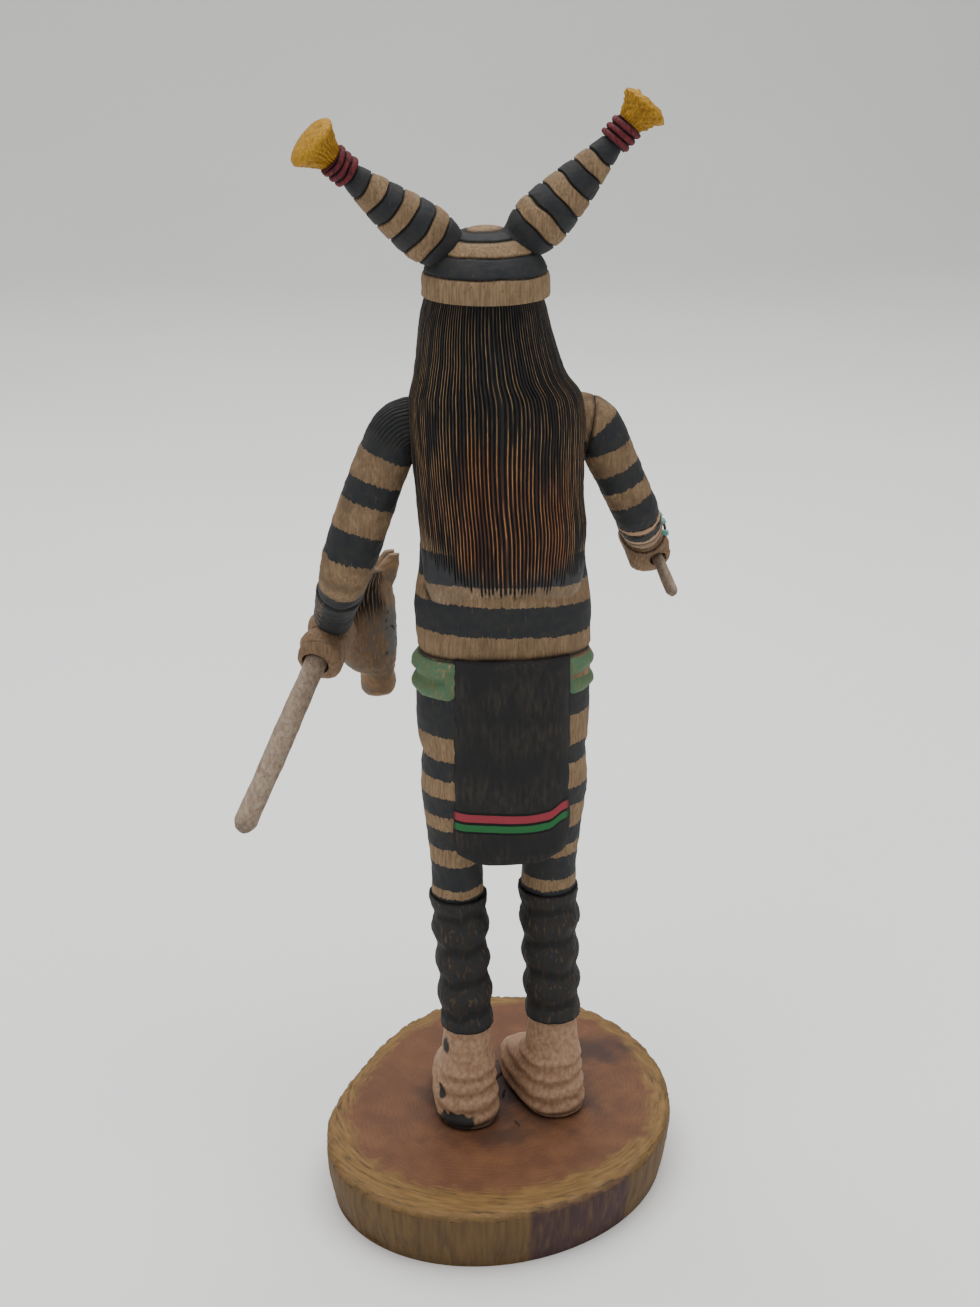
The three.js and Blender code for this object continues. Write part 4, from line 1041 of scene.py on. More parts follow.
def build_legs(scene):
    """Each leg: a striped thigh, a ridged fur legging and a folded moccasin."""
    colours = scene.doll_colours
    fur = mottled_paint_material("brown_black_painted_root_wood", colours.legging, colours.paint,
                                 colours.char, wear=colours.legging_worn)
    hide = mottled_paint_material("clay_painted_root_wood", colours.moccasin, colours.moccasin_dark,
                                  colours.paint_light, size_mm=1.2, stretch=1.3)
    for hand, leg in LEGS.items():
        (ax, ay), (kx, ky), thick, toe = leg["ankle"], leg["knee"], leg["thick"], leg["toe"]
        out = math.copysign(1, kx)
        thigh = carved([
            [kx, ky, KNEE - 4, thick, thick, thick + 0.4],
            [kx + out * 0.2, ky * 0.8, KNEE + 8, thick, thick + 0.4, thick + 0.6],
            [kx + out * 0.3, ky * 0.6, CROTCH + 4, thick + 1.3, thick + 2, thick + 1.8],
            [(kx + leg["hip"]) / 2, 0.4, CROTCH + 16, thick + 3, thick + 4, thick + 3.6],
            [leg["hip"], 0.4, CROTCH + 28, thick + 2.7, thick + 4.1, thick + 4.1],
            [leg["hip"], 0.4, CROTCH + 34, thick, thick + 1, thick + 1],
        ], 90, 90, level=True)
        raised(thigh, knife_marks(thigh, 0.12, 5, 21))
        carve("thigh_" + hand, thigh, "figure", stripes_of(colours, hand + "_leg"),
              along=thigh.grid[..., 2], groove=0.0)

        wide = thick + 0.6
        legging = carved([
            [ax, ay, ANKLE, wide - 0.4, wide - 0.4, wide - 0.4],
            [(ax + kx) / 2, (ay + ky) / 2, (ANKLE + KNEE) / 2, wide - 0.5, wide, wide],
            [kx, ky, KNEE, wide + 0.2, wide + 0.4, wide + 0.6],
        ], 120, 130, level=True)
        fade = np.minimum(1, np.minimum(8 * legging.share, 8 * (1 - legging.share)))
        phase = TURN * LEGGING_RIDGES * legging.share + 0.35 * np.cos(legging.angle)
        ridges = np.cos(phase + 0.5 * ripple(legging.grid, 7, 31))
        raised(legging, LEGGING_RIDGE * fade * ridges + knife_marks(legging, 0.14, 3.4, 32))
        # Painted shade: each legging is darkened at both ends, where it meets the thigh and the moccasin, and in
        # the troughs between its ridges.
        shaded_lip = 1 - ease(0, 0.02, legging.share) * ease(1, 0.98, legging.share)
        shaded_crease = 0.55 * ease(0.45, 1.0, -ridges)
        carve("legging_" + hand, legging, "figure", fur, crest=np.clip(0.7 + 0.3 * ridges, 0, 1),
              groove=np.maximum(shaded_lip, shaded_crease), along=legging.grid[..., 2])

        foot = carved([[ax, ay, z, w, heel, front] for z, w, heel, front in FOOT], 130, 110, power=2.15,
                      level=True, across=(-toe[1], toe[0], 0))
        skin = ease(0, 0.04, foot.share) * (1 - ease(0.86, 0.96, foot.share))
        folds = FOLD_DEPTH * np.cos(TURN * MOCCASIN_FOLDS * foot.share + np.cos(foot.angle))
        raised(foot, (folds + 0.12 * ripple(foot.grid * [1, 1, 2], 6, 41)) * skin)
        carve("moccasin_" + hand, foot, "figure", hide, groove=moccasin_marks(foot, hand), crest=0.0)


def moccasin_marks(foot, hand):
    """Dark sole edge, and on the outside two dark buttons."""
    z = foot.grid[..., 2]
    sole = 0.7 * (1 - ease(1.6, 2.2, z + 0.5 * ripple(foot.grid, 5, 43)))
    if hand == "right":
        return sole * 0.5
    patch = np.hypot((foot.grid[..., 0] - 13) / 5, (z - 2) / 3.4) + 0.15 * ripple(foot.grid, 3, 44)
    marks = np.maximum(sole, (1 - ease(0.85, 1.0, patch)) * (foot.grid[..., 1] > 8))
    for height, tall in ((23.6, 2.6), (9.4, 2.8)):
        centre = np.array([16.6, 10.6, height])
        away = np.linalg.norm((foot.grid - centre) / [2.4, 2.4, tall], axis=-1)
        marks = np.maximum(marks, 1 - ease(0.8, 1.0, away))
    return np.clip(marks, 0, 1)


def cap_radius(z):
    """The cap is a dome, a little flattened."""
    share = np.clip((z - CAP_RIM) / (DRAWN_HEIGHT - CAP_RIM), 0, 1)
    return CAP_RADIUS * np.sqrt(np.maximum(1 - share ** 2.3, 0)) * (1 - 0.012 * np.cos(share * 9))


def build_head(scene):
    """The face with its nose, eyes and mouth."""
    colours = scene.doll_colours
    head = carved(HEAD, 120, 60, level=True)
    raised(head, knife_marks(head, 0.08, 5, 51))
    paint = face_material(colours)
    carve("face", head, "figure", paint, groove=0.0)
    front = HEAD_Y - 14.6
    nose = carved([
        [HEAD_X, front + 2.4, 222, 1, 1, 0.8],
        [HEAD_X, front + 1, 217, 1.5, 2, 1.5],
        [HEAD_X, front + 0.6, 213.4, 2.2, 2, 2.2],
        [HEAD_X, front + 1.6, 212, 1.6, 1.4, 1],
    ], 40, 40, level=True)
    carve("nose", nose, "figure", paint, groove=0.0)
    for name, x, z, (wide, tall), _, _ in FEATURES:
        middle = np.array([HEAD_X + x, front + 1.4 + 0.034 * x ** 2, z])
        swelling = bulge(middle, UP, tall, (wide, 1.5, 1.5), 0.01, 24, 48)
        carve(name, swelling, "figure", paint, groove=0.0)


def build_cap(scene):
    """The striped cap, with a cut line between its bands."""
    colours = scene.doll_colours
    lean = np.linspace(0, 1, 100)
    heights = CAP_RIM + (DRAWN_HEIGHT - CAP_RIM) * np.sin(lean * math.pi / 2)
    heights = np.concatenate([[CAP_RIM, CAP_RIM], heights])
    radii = cap_radius(heights)
    radii[0], radii[1] = CAP_RADIUS - 2.4, CAP_RADIUS - 0.6
    line = np.stack([np.full_like(heights, HEAD_X), np.full_like(heights, HEAD_Y), heights], axis=-1)
    form = cross_sections(line, UP, np.maximum(radii, 0.05), 220, np.linspace(0, 1, len(heights)))
    z = form.grid[..., 2] + 0.22 * ripple(form.grid, 13, 61)
    line_cut = sum(np.exp(-((z - edge) / 0.26) ** 2) for edge in CAP_BANDS[1:-1])
    form.grid[2:, :, 2] -= 0.15 * line_cut[2:]
    raised(form, -CAP_LINE * np.clip(line_cut, 0, 1) + knife_marks(form, 0.1, 5, 62) * ease(0, 0.03, form.share))
    carve("cap", form, "figure", stripes_of(colours, "cap"), along=z, groove=np.clip(line_cut, 0, 1) * 0.95)


def horn_radius(share):
    """The striped part swells from its root to a belly, then tapers."""
    root, belly, tip = (d / 2 for d in HORN_DIAMETERS)
    swell = root + (belly - root) * np.sin(math.pi / 2 * np.clip(share / HORN_BELLY, 0, 1))
    taper = belly + (tip - belly) * np.clip((share - HORN_BELLY) / (1 - HORN_BELLY), 0, 1) ** 1.3
    return np.where(share < HORN_BELLY, swell, taper)


def brush_radius(share, full):
    """The brush widens from its neck to a rounded rim."""
    neck, rim = TASSEL_DIAMETERS[0] / 2, TASSEL_DIAMETERS[1] / 2 * full
    rounding = BRUSH_ROUND * np.clip((share - BRUSH_RIM) / (1 - BRUSH_RIM), 0, 1) ** 2.2
    return neck + (rim - neck) * np.clip(share / BRUSH_RIM, 0, 1) ** 1.2 - rounding - 0.25


def horn_line(horn, total):
    """Distances, points and directions along a horn, from its hidden root to the end of its brush."""
    foot, knee, end = (np.array(horn[key], float) for key in ("root", "bend", "tip"))
    first = foot - unit(knee - foot) * HORN_SUNK
    far = knee + unit(end - knee) * (total - HORN_SUNK - np.linalg.norm(knee - foot))
    fine = smooth_line([first, foot, knee, far], np.linspace(0, 1, 400))
    run = np.concatenate([[0], np.cumsum(np.linalg.norm(np.diff(fine, axis=0), axis=1))])
    distance = np.linspace(0, total, 220)
    line = np.stack([np.interp(distance / total * run[-1], run, fine[:, k]) for k in range(3)], axis=-1)
    return distance, line, np.gradient(line, axis=0)


def build_horns(scene):
    """Each horn: striped rings, three turns of binding and a brush of fibres."""
    colours, sizes = scene.doll_colours, scene.doll_sizes
    red = mottled_paint_material("red_painted_root_wood", colours.red, colours.red_dark, colours.char, size_mm=0.6)
    yellow = mottled_paint_material("ochre_painted_root_wood_fibres", colours.yellow, colours.yellow_dark,
                                    colours.yellow_dark, size_mm=0.4, gloss=0.7)
    for hand, horn in HORNS.items():
        striped, full = HORN_LENGTH * horn["long"], horn["full"]
        tassel = TASSEL_LENGTH * full
        total = HORN_SUNK + striped + BINDING_LENGTH + tassel
        distance, line, tangent = horn_line(horn, total)
        ring = (distance - HORN_SUNK) / striped * HORN_RINGS
        turn = (distance - HORN_SUNK - striped) / BINDING_LENGTH * BINDING_TURNS
        brush = np.clip((distance - HORN_SUNK - striped - BINDING_LENGTH) / tassel, 0, 1)
        kind = np.where(ring < HORN_RINGS, 0, np.where(turn < BINDING_TURNS, 1, 2))
        radius = np.select(
            [kind == 0, kind == 1],
            [horn_radius(np.clip(ring / HORN_RINGS, 0, 1)), BINDING_DIAMETER / 2], brush_radius(brush, full))
        form = cross_sections(line, tangent, radius, 110, distance / total, across=(0, 1, 0))
        seed = 70 if hand == "left" else 90
        at_ring = ring[:, None] + 0.09 * ripple(form.grid, 9, seed)
        near = np.abs(at_ring - np.round(at_ring)) * striped / HORN_RINGS
        groove = np.exp(-(near / 0.3) ** 4) * (at_ring > 0.5)
        slant = turn[:, None] + 0.16 * np.cos(form.angle + 1) + 0.12 * ripple(form.grid, 5, seed + 4)
        coil = np.abs((slant % 1) - 0.5) * 2
        fibre_phase = form.angle * 31 + 1.8 * ripple(form.grid, 6, seed + 3)
        fibre = np.cos(fibre_phase) * 0.6 + 0.4 * np.cos(2.3 * fibre_phase + 5 * brush[:, None])
        shaggy = 1.0 if hand == "right" else 0.25
        clean = (1 - ease(0.62, 0.86, brush[:, None])) * (1 - 0.5 * shaggy)
        ragged = 0.3 * shaggy * ripple(form.grid, 1.5, seed + 5) * ease(0, 0.2, brush[:, None])
        part = [kind[:, None] == 0, kind[:, None] == 1]
        rings = -RING_GROOVE * groove + 0.05 * np.cos(TURN * (at_ring - 0.5))
        fibres = sizes.fibre_depth / MM * fibre * clean + ragged
        relief = np.select(part, [rings, 0.05 - 0.95 * coil ** 3], fibres)
        raised(form, relief + knife_marks(form, 0.08, 4, seed + 8))
        # The ring lines are burned dark. The dark between the turns of the binding, in the valleys between the
        # fibres and in the dips of the ragged brush is painted shade.
        shade = np.clip(0.35 - 0.9 * fibre, 0, 1) * clean + np.clip(-2.2 * ragged, 0, 0.8)
        dark = np.select(part, [groove, ease(0.5, 0.95, coil)], np.clip(shade, 0, 1))
        grid, dark, along, kinds = brush_end(form.grid, dark, at_ring, kind, tangent[-1], shaggy, seed)
        values = {"along": along, "groove": dark, "crest": 0.0}
        piece = make_piece("horn_" + hand, grid, values, material_rows=kinds)
        finished(piece, "horn_" + hand, "painted_root", stripes_of(colours, "horn"), red, yellow)


def brush_end(grid, dark, along, kind, tangent, shaggy, seed):
    """Closes the brush with shrinking rings of cut fibre ends, slightly domed and uneven, with painted shade in
    its dips.
    """
    rim = grid[-1]
    middle = rim.mean(0)
    rows, shades = [], []
    for share in (0.92, 0.84, 0.74, 0.64, 0.54, 0.44, 0.34, 0.24, 0.14, 0.05):
        flat = middle + (rim - middle) * share
        bump = (0.08 + 0.25 * shaggy) * ripple(flat, 1.5, seed + 17)
        rows.append(flat + unit(tangent) * (0.5 * (1 - share ** 2) + bump)[:, None])
        shades.append(np.clip(-2.2 * bump, 0, 0.7))
    grid = np.concatenate([grid, np.array(rows)])
    dark = np.concatenate([dark, np.array(shades)])
    along = np.concatenate([along, np.repeat(along[-1:], len(rows), axis=0)])
    return grid, dark, along, np.concatenate([kind, [2] * len(rows)])


def build_arms(scene):
    """The left arm with its laced cuff, and the right arm, glued on at the shoulder."""
    colours = scene.doll_colours
    left = carved(LEFT_ARM, 150, 160)
    start, end = LEFT_CUFF
    cuff = ease(start, start + 0.6, left.length) * (1 - ease(end - 0.6, end, left.length))
    edge = np.exp(-((left.length - start) / 0.35) ** 2)
    crossing = np.cos(TURN * (left.length / LACE_PITCH + 0.6 * left.angle)) > 0.55
    lace = ease(0.75, 0.9, np.cos(left.angle)) * cuff * crossing
    strand = stroke_groove(left.angle * 40 / TURN + 0.4 * np.sin(left.length / 3)) * (1 - ease(9, 14, left.length))
    raised(left, 0.45 * cuff - 0.3 * edge - 0.25 * strand + knife_marks(left, 0.12, 5, 101))
    along = np.where(lace > 0, 33.0, left.length)
    carve("arm_left", left, "figure", stripes_of(colours, "left_arm"), along=along,
          groove=np.clip(edge + strand, 0, 1))

    right = carved(RIGHT_ARM, 120, 220)
    edge = sum(np.exp(-((right.length - at) / 0.3) ** 2) for at in RIGHT_ARM_BANDS[6:8] + (RIGHT_CUFF_END,))
    seam = np.abs((right.grid - SEAM_POINT) @ unit(SEAM_NORMAL)) + 0.25 * ripple(right.grid, 4, 113)
    edge = edge + np.exp(-(seam / 0.55) ** 2)
    hand_rows = (right.length[:, 0] > RIGHT_CUFF_END).astype(int)
    raised(right, -0.25 * np.clip(edge, 0, 1) + knife_marks(right, 0.12, 5, 111))
    values = {"along": right.length, "groove": np.clip(edge, 0, 1) * 0.85}
    for name, node, gap, keep in (("arm_right", "right_arm", SEAM_GAP, "INTERSECT"),
                                  ("shoulder_right", "figure", -SEAM_GAP, "DIFFERENCE")):
        piece = make_piece(name, right.grid, values, material_rows=hand_rows)
        piece.data.materials.append(stripes_of(colours, "right_arm"))
        piece.data.materials.append(bare_hand(colours))
        cut_by(piece, seam_block(gap), keep)
        finished(piece, node, "painted_root")


def seam_block(gap):
    """Everything beyond the glue seam of the right shoulder."""
    reach = 0.14
    corners = np.array([[x, y, z] for z in (0, 1) for y in (-0.5, 0.5) for x in (-0.5, 0.5)]) * reach
    turn = np.array(Vector((0, 0, 1)).rotation_difference(Vector(SEAM_NORMAL)).to_matrix())
    corners[:, 2] += gap * MM
    points = corners @ turn.T + placed(SEAM_POINT)
    mesh = bpy.data.meshes.new("seam_block")
    faces = [(0, 2, 3, 1), (4, 5, 7, 6), (0, 1, 5, 4), (2, 6, 7, 3), (0, 4, 6, 2), (1, 3, 7, 5)]
    mesh.from_pydata(points.tolist(), [], faces)
    return stood("seam_block", mesh)


def grip_cutter(fist, stick_diameter):
    """A round bar for the hollow of a fist."""
    grip, along = np.array(fist["grip"], float), unit(fist["along"])
    radii = np.full(5, stick_diameter / 2 + GRIP_CLEARANCE)
    bar = straight(grip - along * GRIP_BAR, grip + along * GRIP_BAR, radii, np.linspace(0, 1, 5), 48)
    return make_piece("grip_cutter", bar.grid, {"groove": 1.0})


def build_fists(scene):
    """Both fists, bored for their sticks, with folded fingers and a thumb."""
    colours = scene.doll_colours
    for hand, node, outward, stick in (("left", "figure", 1, POLE_DIAMETER),
                                       ("right", "right_arm", -1, SWITCH_DIAMETER)):
        fist = FISTS[hand]
        palm, along = np.array(fist["palm"], float), unit(fist["along"])
        share = np.linspace(0, 1, 74)
        stops = smooth_line([palm + along * s * fist["length"] for s in (-0.5, -0.42, 0, 0.42, 0.5)], share)
        spread = smooth_line([np.array(fist["half"]) * k for k in (0.8, 1, 1, 1, 0.8)], share)
        form = cross_sections(stops, along, spread, 96, share, power=2.2)
        wrap = np.clip(outward * np.cos(form.angle) + 0.35, 0, 1)
        folds = np.cos(TURN * FINGERS * form.share)
        # The creases between the fingers are cut in, and darkened with painted shade.
        shaded_crease = wrap * ease(0.86, 1.0, folds) * ease(0, 0.08, form.share) * ease(1, 0.92, form.share)
        raised(form, -KNUCKLE * wrap * folds - 0.35 * shaded_crease - FIST_SUNK + knife_marks(form, 0.15, 4, 121))
        piece = make_piece("fist_" + hand, form.grid, {"groove": shaded_crease * 0.8})
        cut_by(piece, grip_cutter(fist, stick))
        finished(piece, node, "painted_root", bare_hand(colours))
        if hand == "right":
            build_heel(colours)

        aside = unit([-outward, 0, 0.35]) * (stick / 2 + 2.6)
        start = np.array(fist["grip"]) + aside + along * 5
        end = np.array(fist["grip"]) + aside - along * 8.4 - [0, 0, 2.4]
        lean = np.linspace(0, 1, 40)
        blunt = np.sqrt(np.clip(1 - np.abs(2 * lean - 1) ** 5, 0.02, 1))
        radii = THUMB_RADIUS * blunt * (1 + 0.06 * np.cos(TURN * 1.5 * lean))
        thumb = straight(start, end, radii, lean, 40)
        raised(thumb, knife_marks(thumb, 0.1, 3, 131))
        carve("thumb_" + hand, thumb, node, bare_hand(colours), groove=0.0)


def build_heel(colours):
    """The heel of the right hand, below the wrist, with the flats of three knife cuts."""
    form = bulge((-39.0, -27.6, 158.8), (0.25, 0, 1), 4.6, (3.4, 3.2, 3.2), 0.02, 30, 60, power=2.2)
    cuts = 0.3 * np.abs(np.sin(TURN * 1.5 * form.share + 0.5 * form.angle))
    raised(form, cuts - 0.2 + knife_marks(form, 0.12, 3, 141))
    carve("heel_right", form, "right_arm", bare_hand(colours), groove=0.0)


def stick_ends(fist, behind, ahead):
    """The ends of a stick, ahead of its fist and behind it."""
    grip, along = np.array(fist["grip"], float), unit(fist["along"])
    return grip - along * ahead, grip + along * behind


def build_sticks(scene):
    """The two whittled sticks."""
    colours = scene.doll_colours
    bare = plain_wood_material("whittled_cottonwood_stick", colours, colours.stick, colours.stick_dark,
                               0.9, along="Y")
    ahead = FISTS["left"]["length"] / 2 + NECK_STANDOFF / GROW
    jobs = (("stick_left", FISTS["left"], POLE_BEHIND_FIST, ahead, POLE_DIAMETER, 150),
            ("stick_right", FISTS["right"], SWITCH_BEHIND_FIST, SWITCH_AHEAD_OF_FIST, SWITCH_DIAMETER, 160))
    for name, fist, behind, front, diameter, seed in jobs:
        start, end = stick_ends(fist, behind, front)
        share = np.concatenate([[0, 0.004, 0.01], np.linspace(0.02, 0.97, 110), [0.98, 0.988, 0.995, 1.0]])
        round_off = np.minimum(1, np.minimum(0.78 + share * 18, 0.62 + (1 - share) * 14))
        form = straight(start, end, diameter / 2 * round_off, share, 60)
        flats = 0.12 * np.cos(4 * form.angle + 2 * ripple(form.grid, 30, seed)) * diameter / 6
        raised(form, flats + knife_marks(form, 0.07, 6, seed + 1) * diameter / 6)
        end_grain = 1 - ease(0.0, 0.012, 1 - form.share)
        carve(name, form, name, bare, slot="bare_stick", groove=end_grain * 0.25)


def build_horse(scene):
    """The head of the stick horse, with its cut mane and its ears."""
    colours = scene.doll_colours
    facing = unit(HORSE_FACING)
    side = np.cross(facing, [0, 0, 1])
    fist = FISTS["left"]
    front, _ = stick_ends(fist, 0, fist["length"] / 2 + NECK_STANDOFF / GROW)
    share = np.linspace(0, 1, 120)
    table = smooth_line(HORSE_ROWS, share)
    line = front + facing * table[:, 1:2] + np.array([0, 0, 1]) * table[:, :1]
    sizes = np.stack([table[:, 2], table[:, 3], table[:, 3]], axis=-1)
    form = cross_sections(line, UP, sizes, 140, share, power=2.1, across=facing)
    height = np.broadcast_to(table[:, :1], form.share.shape)
    locks = np.cos(HORSE_LOCKS * form.angle + 3.2 * np.sin(height / 6 + 0.6) + 1.4 * ripple(form.grid, 8, 171))
    mane = ease(-7, 2, height) * ease(-0.62, -0.2, -np.cos(form.angle) + 0.12 * ripple(form.grid, 6, 174))
    jaw = np.exp(-((height + 19.6) / 0.8) ** 2)
    raised(form, 0.26 * mane * locks - 0.35 * jaw + knife_marks(form, 0.16, 4, 172))
    tan_part = np.maximum(1 - ease(-21, -18.5, height), ease(5, 8.5, height) * ease(0.1, 0.5, np.cos(form.angle)))
    before = ease(0.2, 0.5, np.cos(form.angle) + 0.2 * ripple(form.grid, 5, 173))
    cheek_part = ease(-17, -14, height) * (1 - ease(-4, 0, height)) * before
    material = horse_material(colours)
    carve("horse_head", form, "horse_head", material, slot="horse_paint", mane=mane,
          lock=np.clip(0.5 + 0.5 * locks, 0, 1), cheek=cheek_part, tan=tan_part)
    for number, hand in enumerate((-1, 1)):
        lean = np.linspace(0, 1, 40)
        spine = smooth_line([[9.8, hand * 1.5, 3], [12.8, hand * 1.6, 8.4], [15.2, hand * 1.7, 12.8]], lean)
        girth = smooth_line([[4.6, 2.1, 2.1], [3.7, 1.8, 1.8], [1.6, 0.9, 0.9]], lean)
        line = front + facing * spine[:, :1] + side * spine[:, 1:2] + np.array([0, 0, 1]) * spine[:, 2:]
        ear = cross_sections(line, UP, girth, 48, lean, across=facing)
        inside = TURN * (0.25 if hand > 0 else 0.75)
        hollow = np.exp(-((ear.angle - inside) / 0.6) ** 2) * ease(0.2, 0.6, ear.share)
        raised(ear, -0.5 * hollow * (1 - ear.share) + knife_marks(ear, 0.1, 3, 181))
        carve(f"horse_ear_{number}", ear, "horse_head", material, slot="horse_paint",
              mane=0.0, lock=0.0, cheek=0.0, tan=ease(0.2, 0.45, ear.share))


def build_bracelet(scene):
    """Chips of turquoise on a thong, strung where they show."""
    colours = scene.doll_colours
    stone = turquoise_material(colours)
    thong = mottled_paint_material("dark_thong", colours.skin_dark, colours.cloth_brown, colours.char, size_mm=0.5)
    line = smooth_line(np.asarray(RIGHT_ARM)[:, :3], [0.929, 0.93, 0.931])
    middle, along = line[1], unit(line[2] - line[0])
    u = unit(np.cross(along, [0, 0, 1]))
    v = np.cross(along, u)
    radius = RIGHT_ARM[-1][3] + BRACELET_STANDOFF
    draw = np.random.default_rng(7)
    around = np.arange(10) * TURN / 10
    rings = []
    for a in np.linspace(0, TURN, 72, endpoint=False):
        out = math.cos(a) * u + math.sin(a) * v
        section = np.cos(around)[:, None] * out + np.sin(around)[:, None] * along
        rings.append(middle + radius * out + THONG_DIAMETER / 2 * section)
    ring_mesh("bracelet_thong", np.array(rings), thong)
    for k in range(CHIPS):
        a = TURN * (k + 0.3 * draw.uniform(-1, 1)) / CHIPS
        out = math.cos(a) * u + math.sin(a) * v
        faces_out = out[0] < CHIPS_OUTER and out[1] < CHIPS_BACK
        if out[1] > CHIPS_FRONT and not faces_out:
            continue
        centre = middle + radius * out
        lean = np.linspace(-math.pi / 2, math.pi / 2, 9)
        half = draw.uniform(0.75, 1.05, 3)
        axis = unit(along + 0.35 * draw.normal(size=3))
        chip_line = centre + axis * (np.sin(lean) * half[0])[:, None]
        girth = np.abs(np.cos(lean))[:, None] ** 0.45 * [[half[1], half[2], half[2]]] + 0.02
        form = cross_sections(chip_line, axis, girth, 14, lean, power=3.2, across=out)
        raised(form, 0.12 * ripple(form.grid, 1.6, 200 + k))
        piece = make_piece(f"turquoise_chip_{k:02d}", form.grid, sharp=35)
        finished(piece, "bracelet", "turquoise", stone)


def ring_mesh(name, rings, material):
    """A closed loop of sections, such as a thong tied round a wrist."""
    count, sides = rings.shape[:2]
    points = placed(rings.reshape(-1, 3))
    faces = [(i * sides + j, i * sides + (j + 1) % sides, (i + 1) % count * sides + (j + 1) % sides,
              (i + 1) % count * sides + j) for i in range(count) for j in range(sides)]
    mesh = bpy.data.meshes.new(name)
    mesh.from_pydata(points.tolist(), [], faces)
    mesh.polygons.foreach_set("use_smooth", [True] * len(mesh.polygons))
    finished(stood(name, mesh), "bracelet", "turquoise", material)


def rim_radius(angle, mean_radius):
    """The rim of the slice, which isn't round."""
    swell = sum(share * np.cos(waves * angle - math.radians(direction)) for waves, share, direction in RIM_WAVES)
    return mean_radius * (1 + swell)


def cracks_at(x, y):
    """1 along the middle of each drying crack."""
    cracks = np.zeros(x.shape)
    for (x0, y0), (x1, y1), wide in CRACKS:
        along = np.array([x1 - x0, y1 - y0])
        t = np.clip(((x - x0) * along[0] + (y - y0) * along[1]) / (along @ along), 0, 1)
        away = np.hypot(x - x0 - t * along[0], y - y0 - t * along[1])
        cracks = np.maximum(cracks, 1 - ease(wide * 0.4, wide, away))
    return cracks


def stains_at(points):
    """How dark the old stains are, with cloudy edges."""
    cloudy = 0.22 * ripple(points, 9, 306) + 0.1 * ripple(points, 3, 307)
    stain = np.zeros(points.shape[:2])
    for x, y, wide, deep, strength in STAINS:
        away = np.hypot((points[..., 0] - x) / wide, (points[..., 1] - y) / deep) + cloudy
        stain = np.maximum(stain, strength * (1 - ease(0.3, 1.1, away)))
    return stain


def bark_at(degrees):
    """How much inner bark is left on the side."""
    return sum(strength * ease(first - 3, first + 2, degrees) * (1 - ease(last - 2, last + 3, degrees))
               for first, last, strength in BARK)


def build_base(scene):
    """The slice of trunk, from the middle of its underside over the rim to the middle of its top."""
    colours = scene.doll_colours
    thick = BASE_TOP
    low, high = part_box("base")
    angle = np.arange(BASE_SIDES) * TURN / BASE_SIDES
    trial = rim_radius(angle, 1.0) * np.cos(angle)
    mean = (high.x - low.x) / (trial.max() - trial.min())
    rim = rim_radius(angle, mean)
    edge, taper = BASE_EDGE, BASE_TAPER
    rows = [(0.0, (rim - taper) * share, 1.0) for share in np.linspace(0.02, 1, 12)]
    for share in np.linspace(0, 1, 46)[1:-1]:
        rows.append((share * (thick - edge), rim - taper * np.clip(1 - share * 1.1, 0, 1) ** 1.5, 1.0))
    for share in np.linspace(0, 1, 10):
        lean = share * math.pi / 2
        rows.append((thick - edge * (1 - math.sin(lean)), rim - edge * (1 - math.cos(lean)), 1 - share))
    rows += [(thick, (rim - edge) * share, 0.0) for share in np.linspace(1, 0.004, 112)[1:]]
    z, radius, side = (np.array([np.broadcast_to(row[k], BASE_SIDES) for row in rows]) for k in range(3))
    grid = np.stack([radius * np.cos(angle), radius * np.sin(angle), z], axis=-1)
    radial = np.clip(radius / rim, 0, 1)
    on_top = z > thick - 1e-6
    points = grid / MM
    fibre = ripple(points * [1, 1, 0.12], 2.6, 301) * 0.5 + ripple(points * [1, 1, 0.1], 1.2, 302) * 0.3
    flank = side * (z > 0.0006) * (1 - on_top)
    push = 0.28 * fibre * flank + 0.5 * ripple(points * [1, 1, 0.5], 16, 303) * flank
    worn = ease(0.90, 1.0, radial) * (side < 0.99)
    drop = worn * (0.35 + 0.45 * ripple(points, 3.5, 304) + 0.3 * ripple(points, 1.3, 305))
    grid[..., 0] -= np.abs(push) * MM * np.cos(angle)
    grid[..., 1] -= np.abs(push) * MM * np.sin(angle)
    grid[..., 2] -= np.clip(drop, 0, 1.4) * MM * (side < 0.99)
    x, y = points[..., 0], points[..., 1]
    cracks = cracks_at(x, y) * on_top
    grid[..., 2] -= CRACK_DEPTH * cracks
    sap = radial + 0.085 * ease(0.2, 1.0, np.sin(angle + 0.2)) - 0.015
    values = {"east": np.cos(angle) * FIBRES_ROUND, "north": np.sin(angle) * FIBRES_ROUND,
              "outward": radius / FIBRE_WIDTH, "radial": radial, "sap": sap, "side": side, "groove": cracks,
              "stain": stains_at(points) * on_top, "bark": bark_at(np.degrees(angle))}
    piece = make_piece("base", grid, values, placed_already=True, sharp=70)
    finished(piece, "base", "trunk_slice", slice_material(colours))


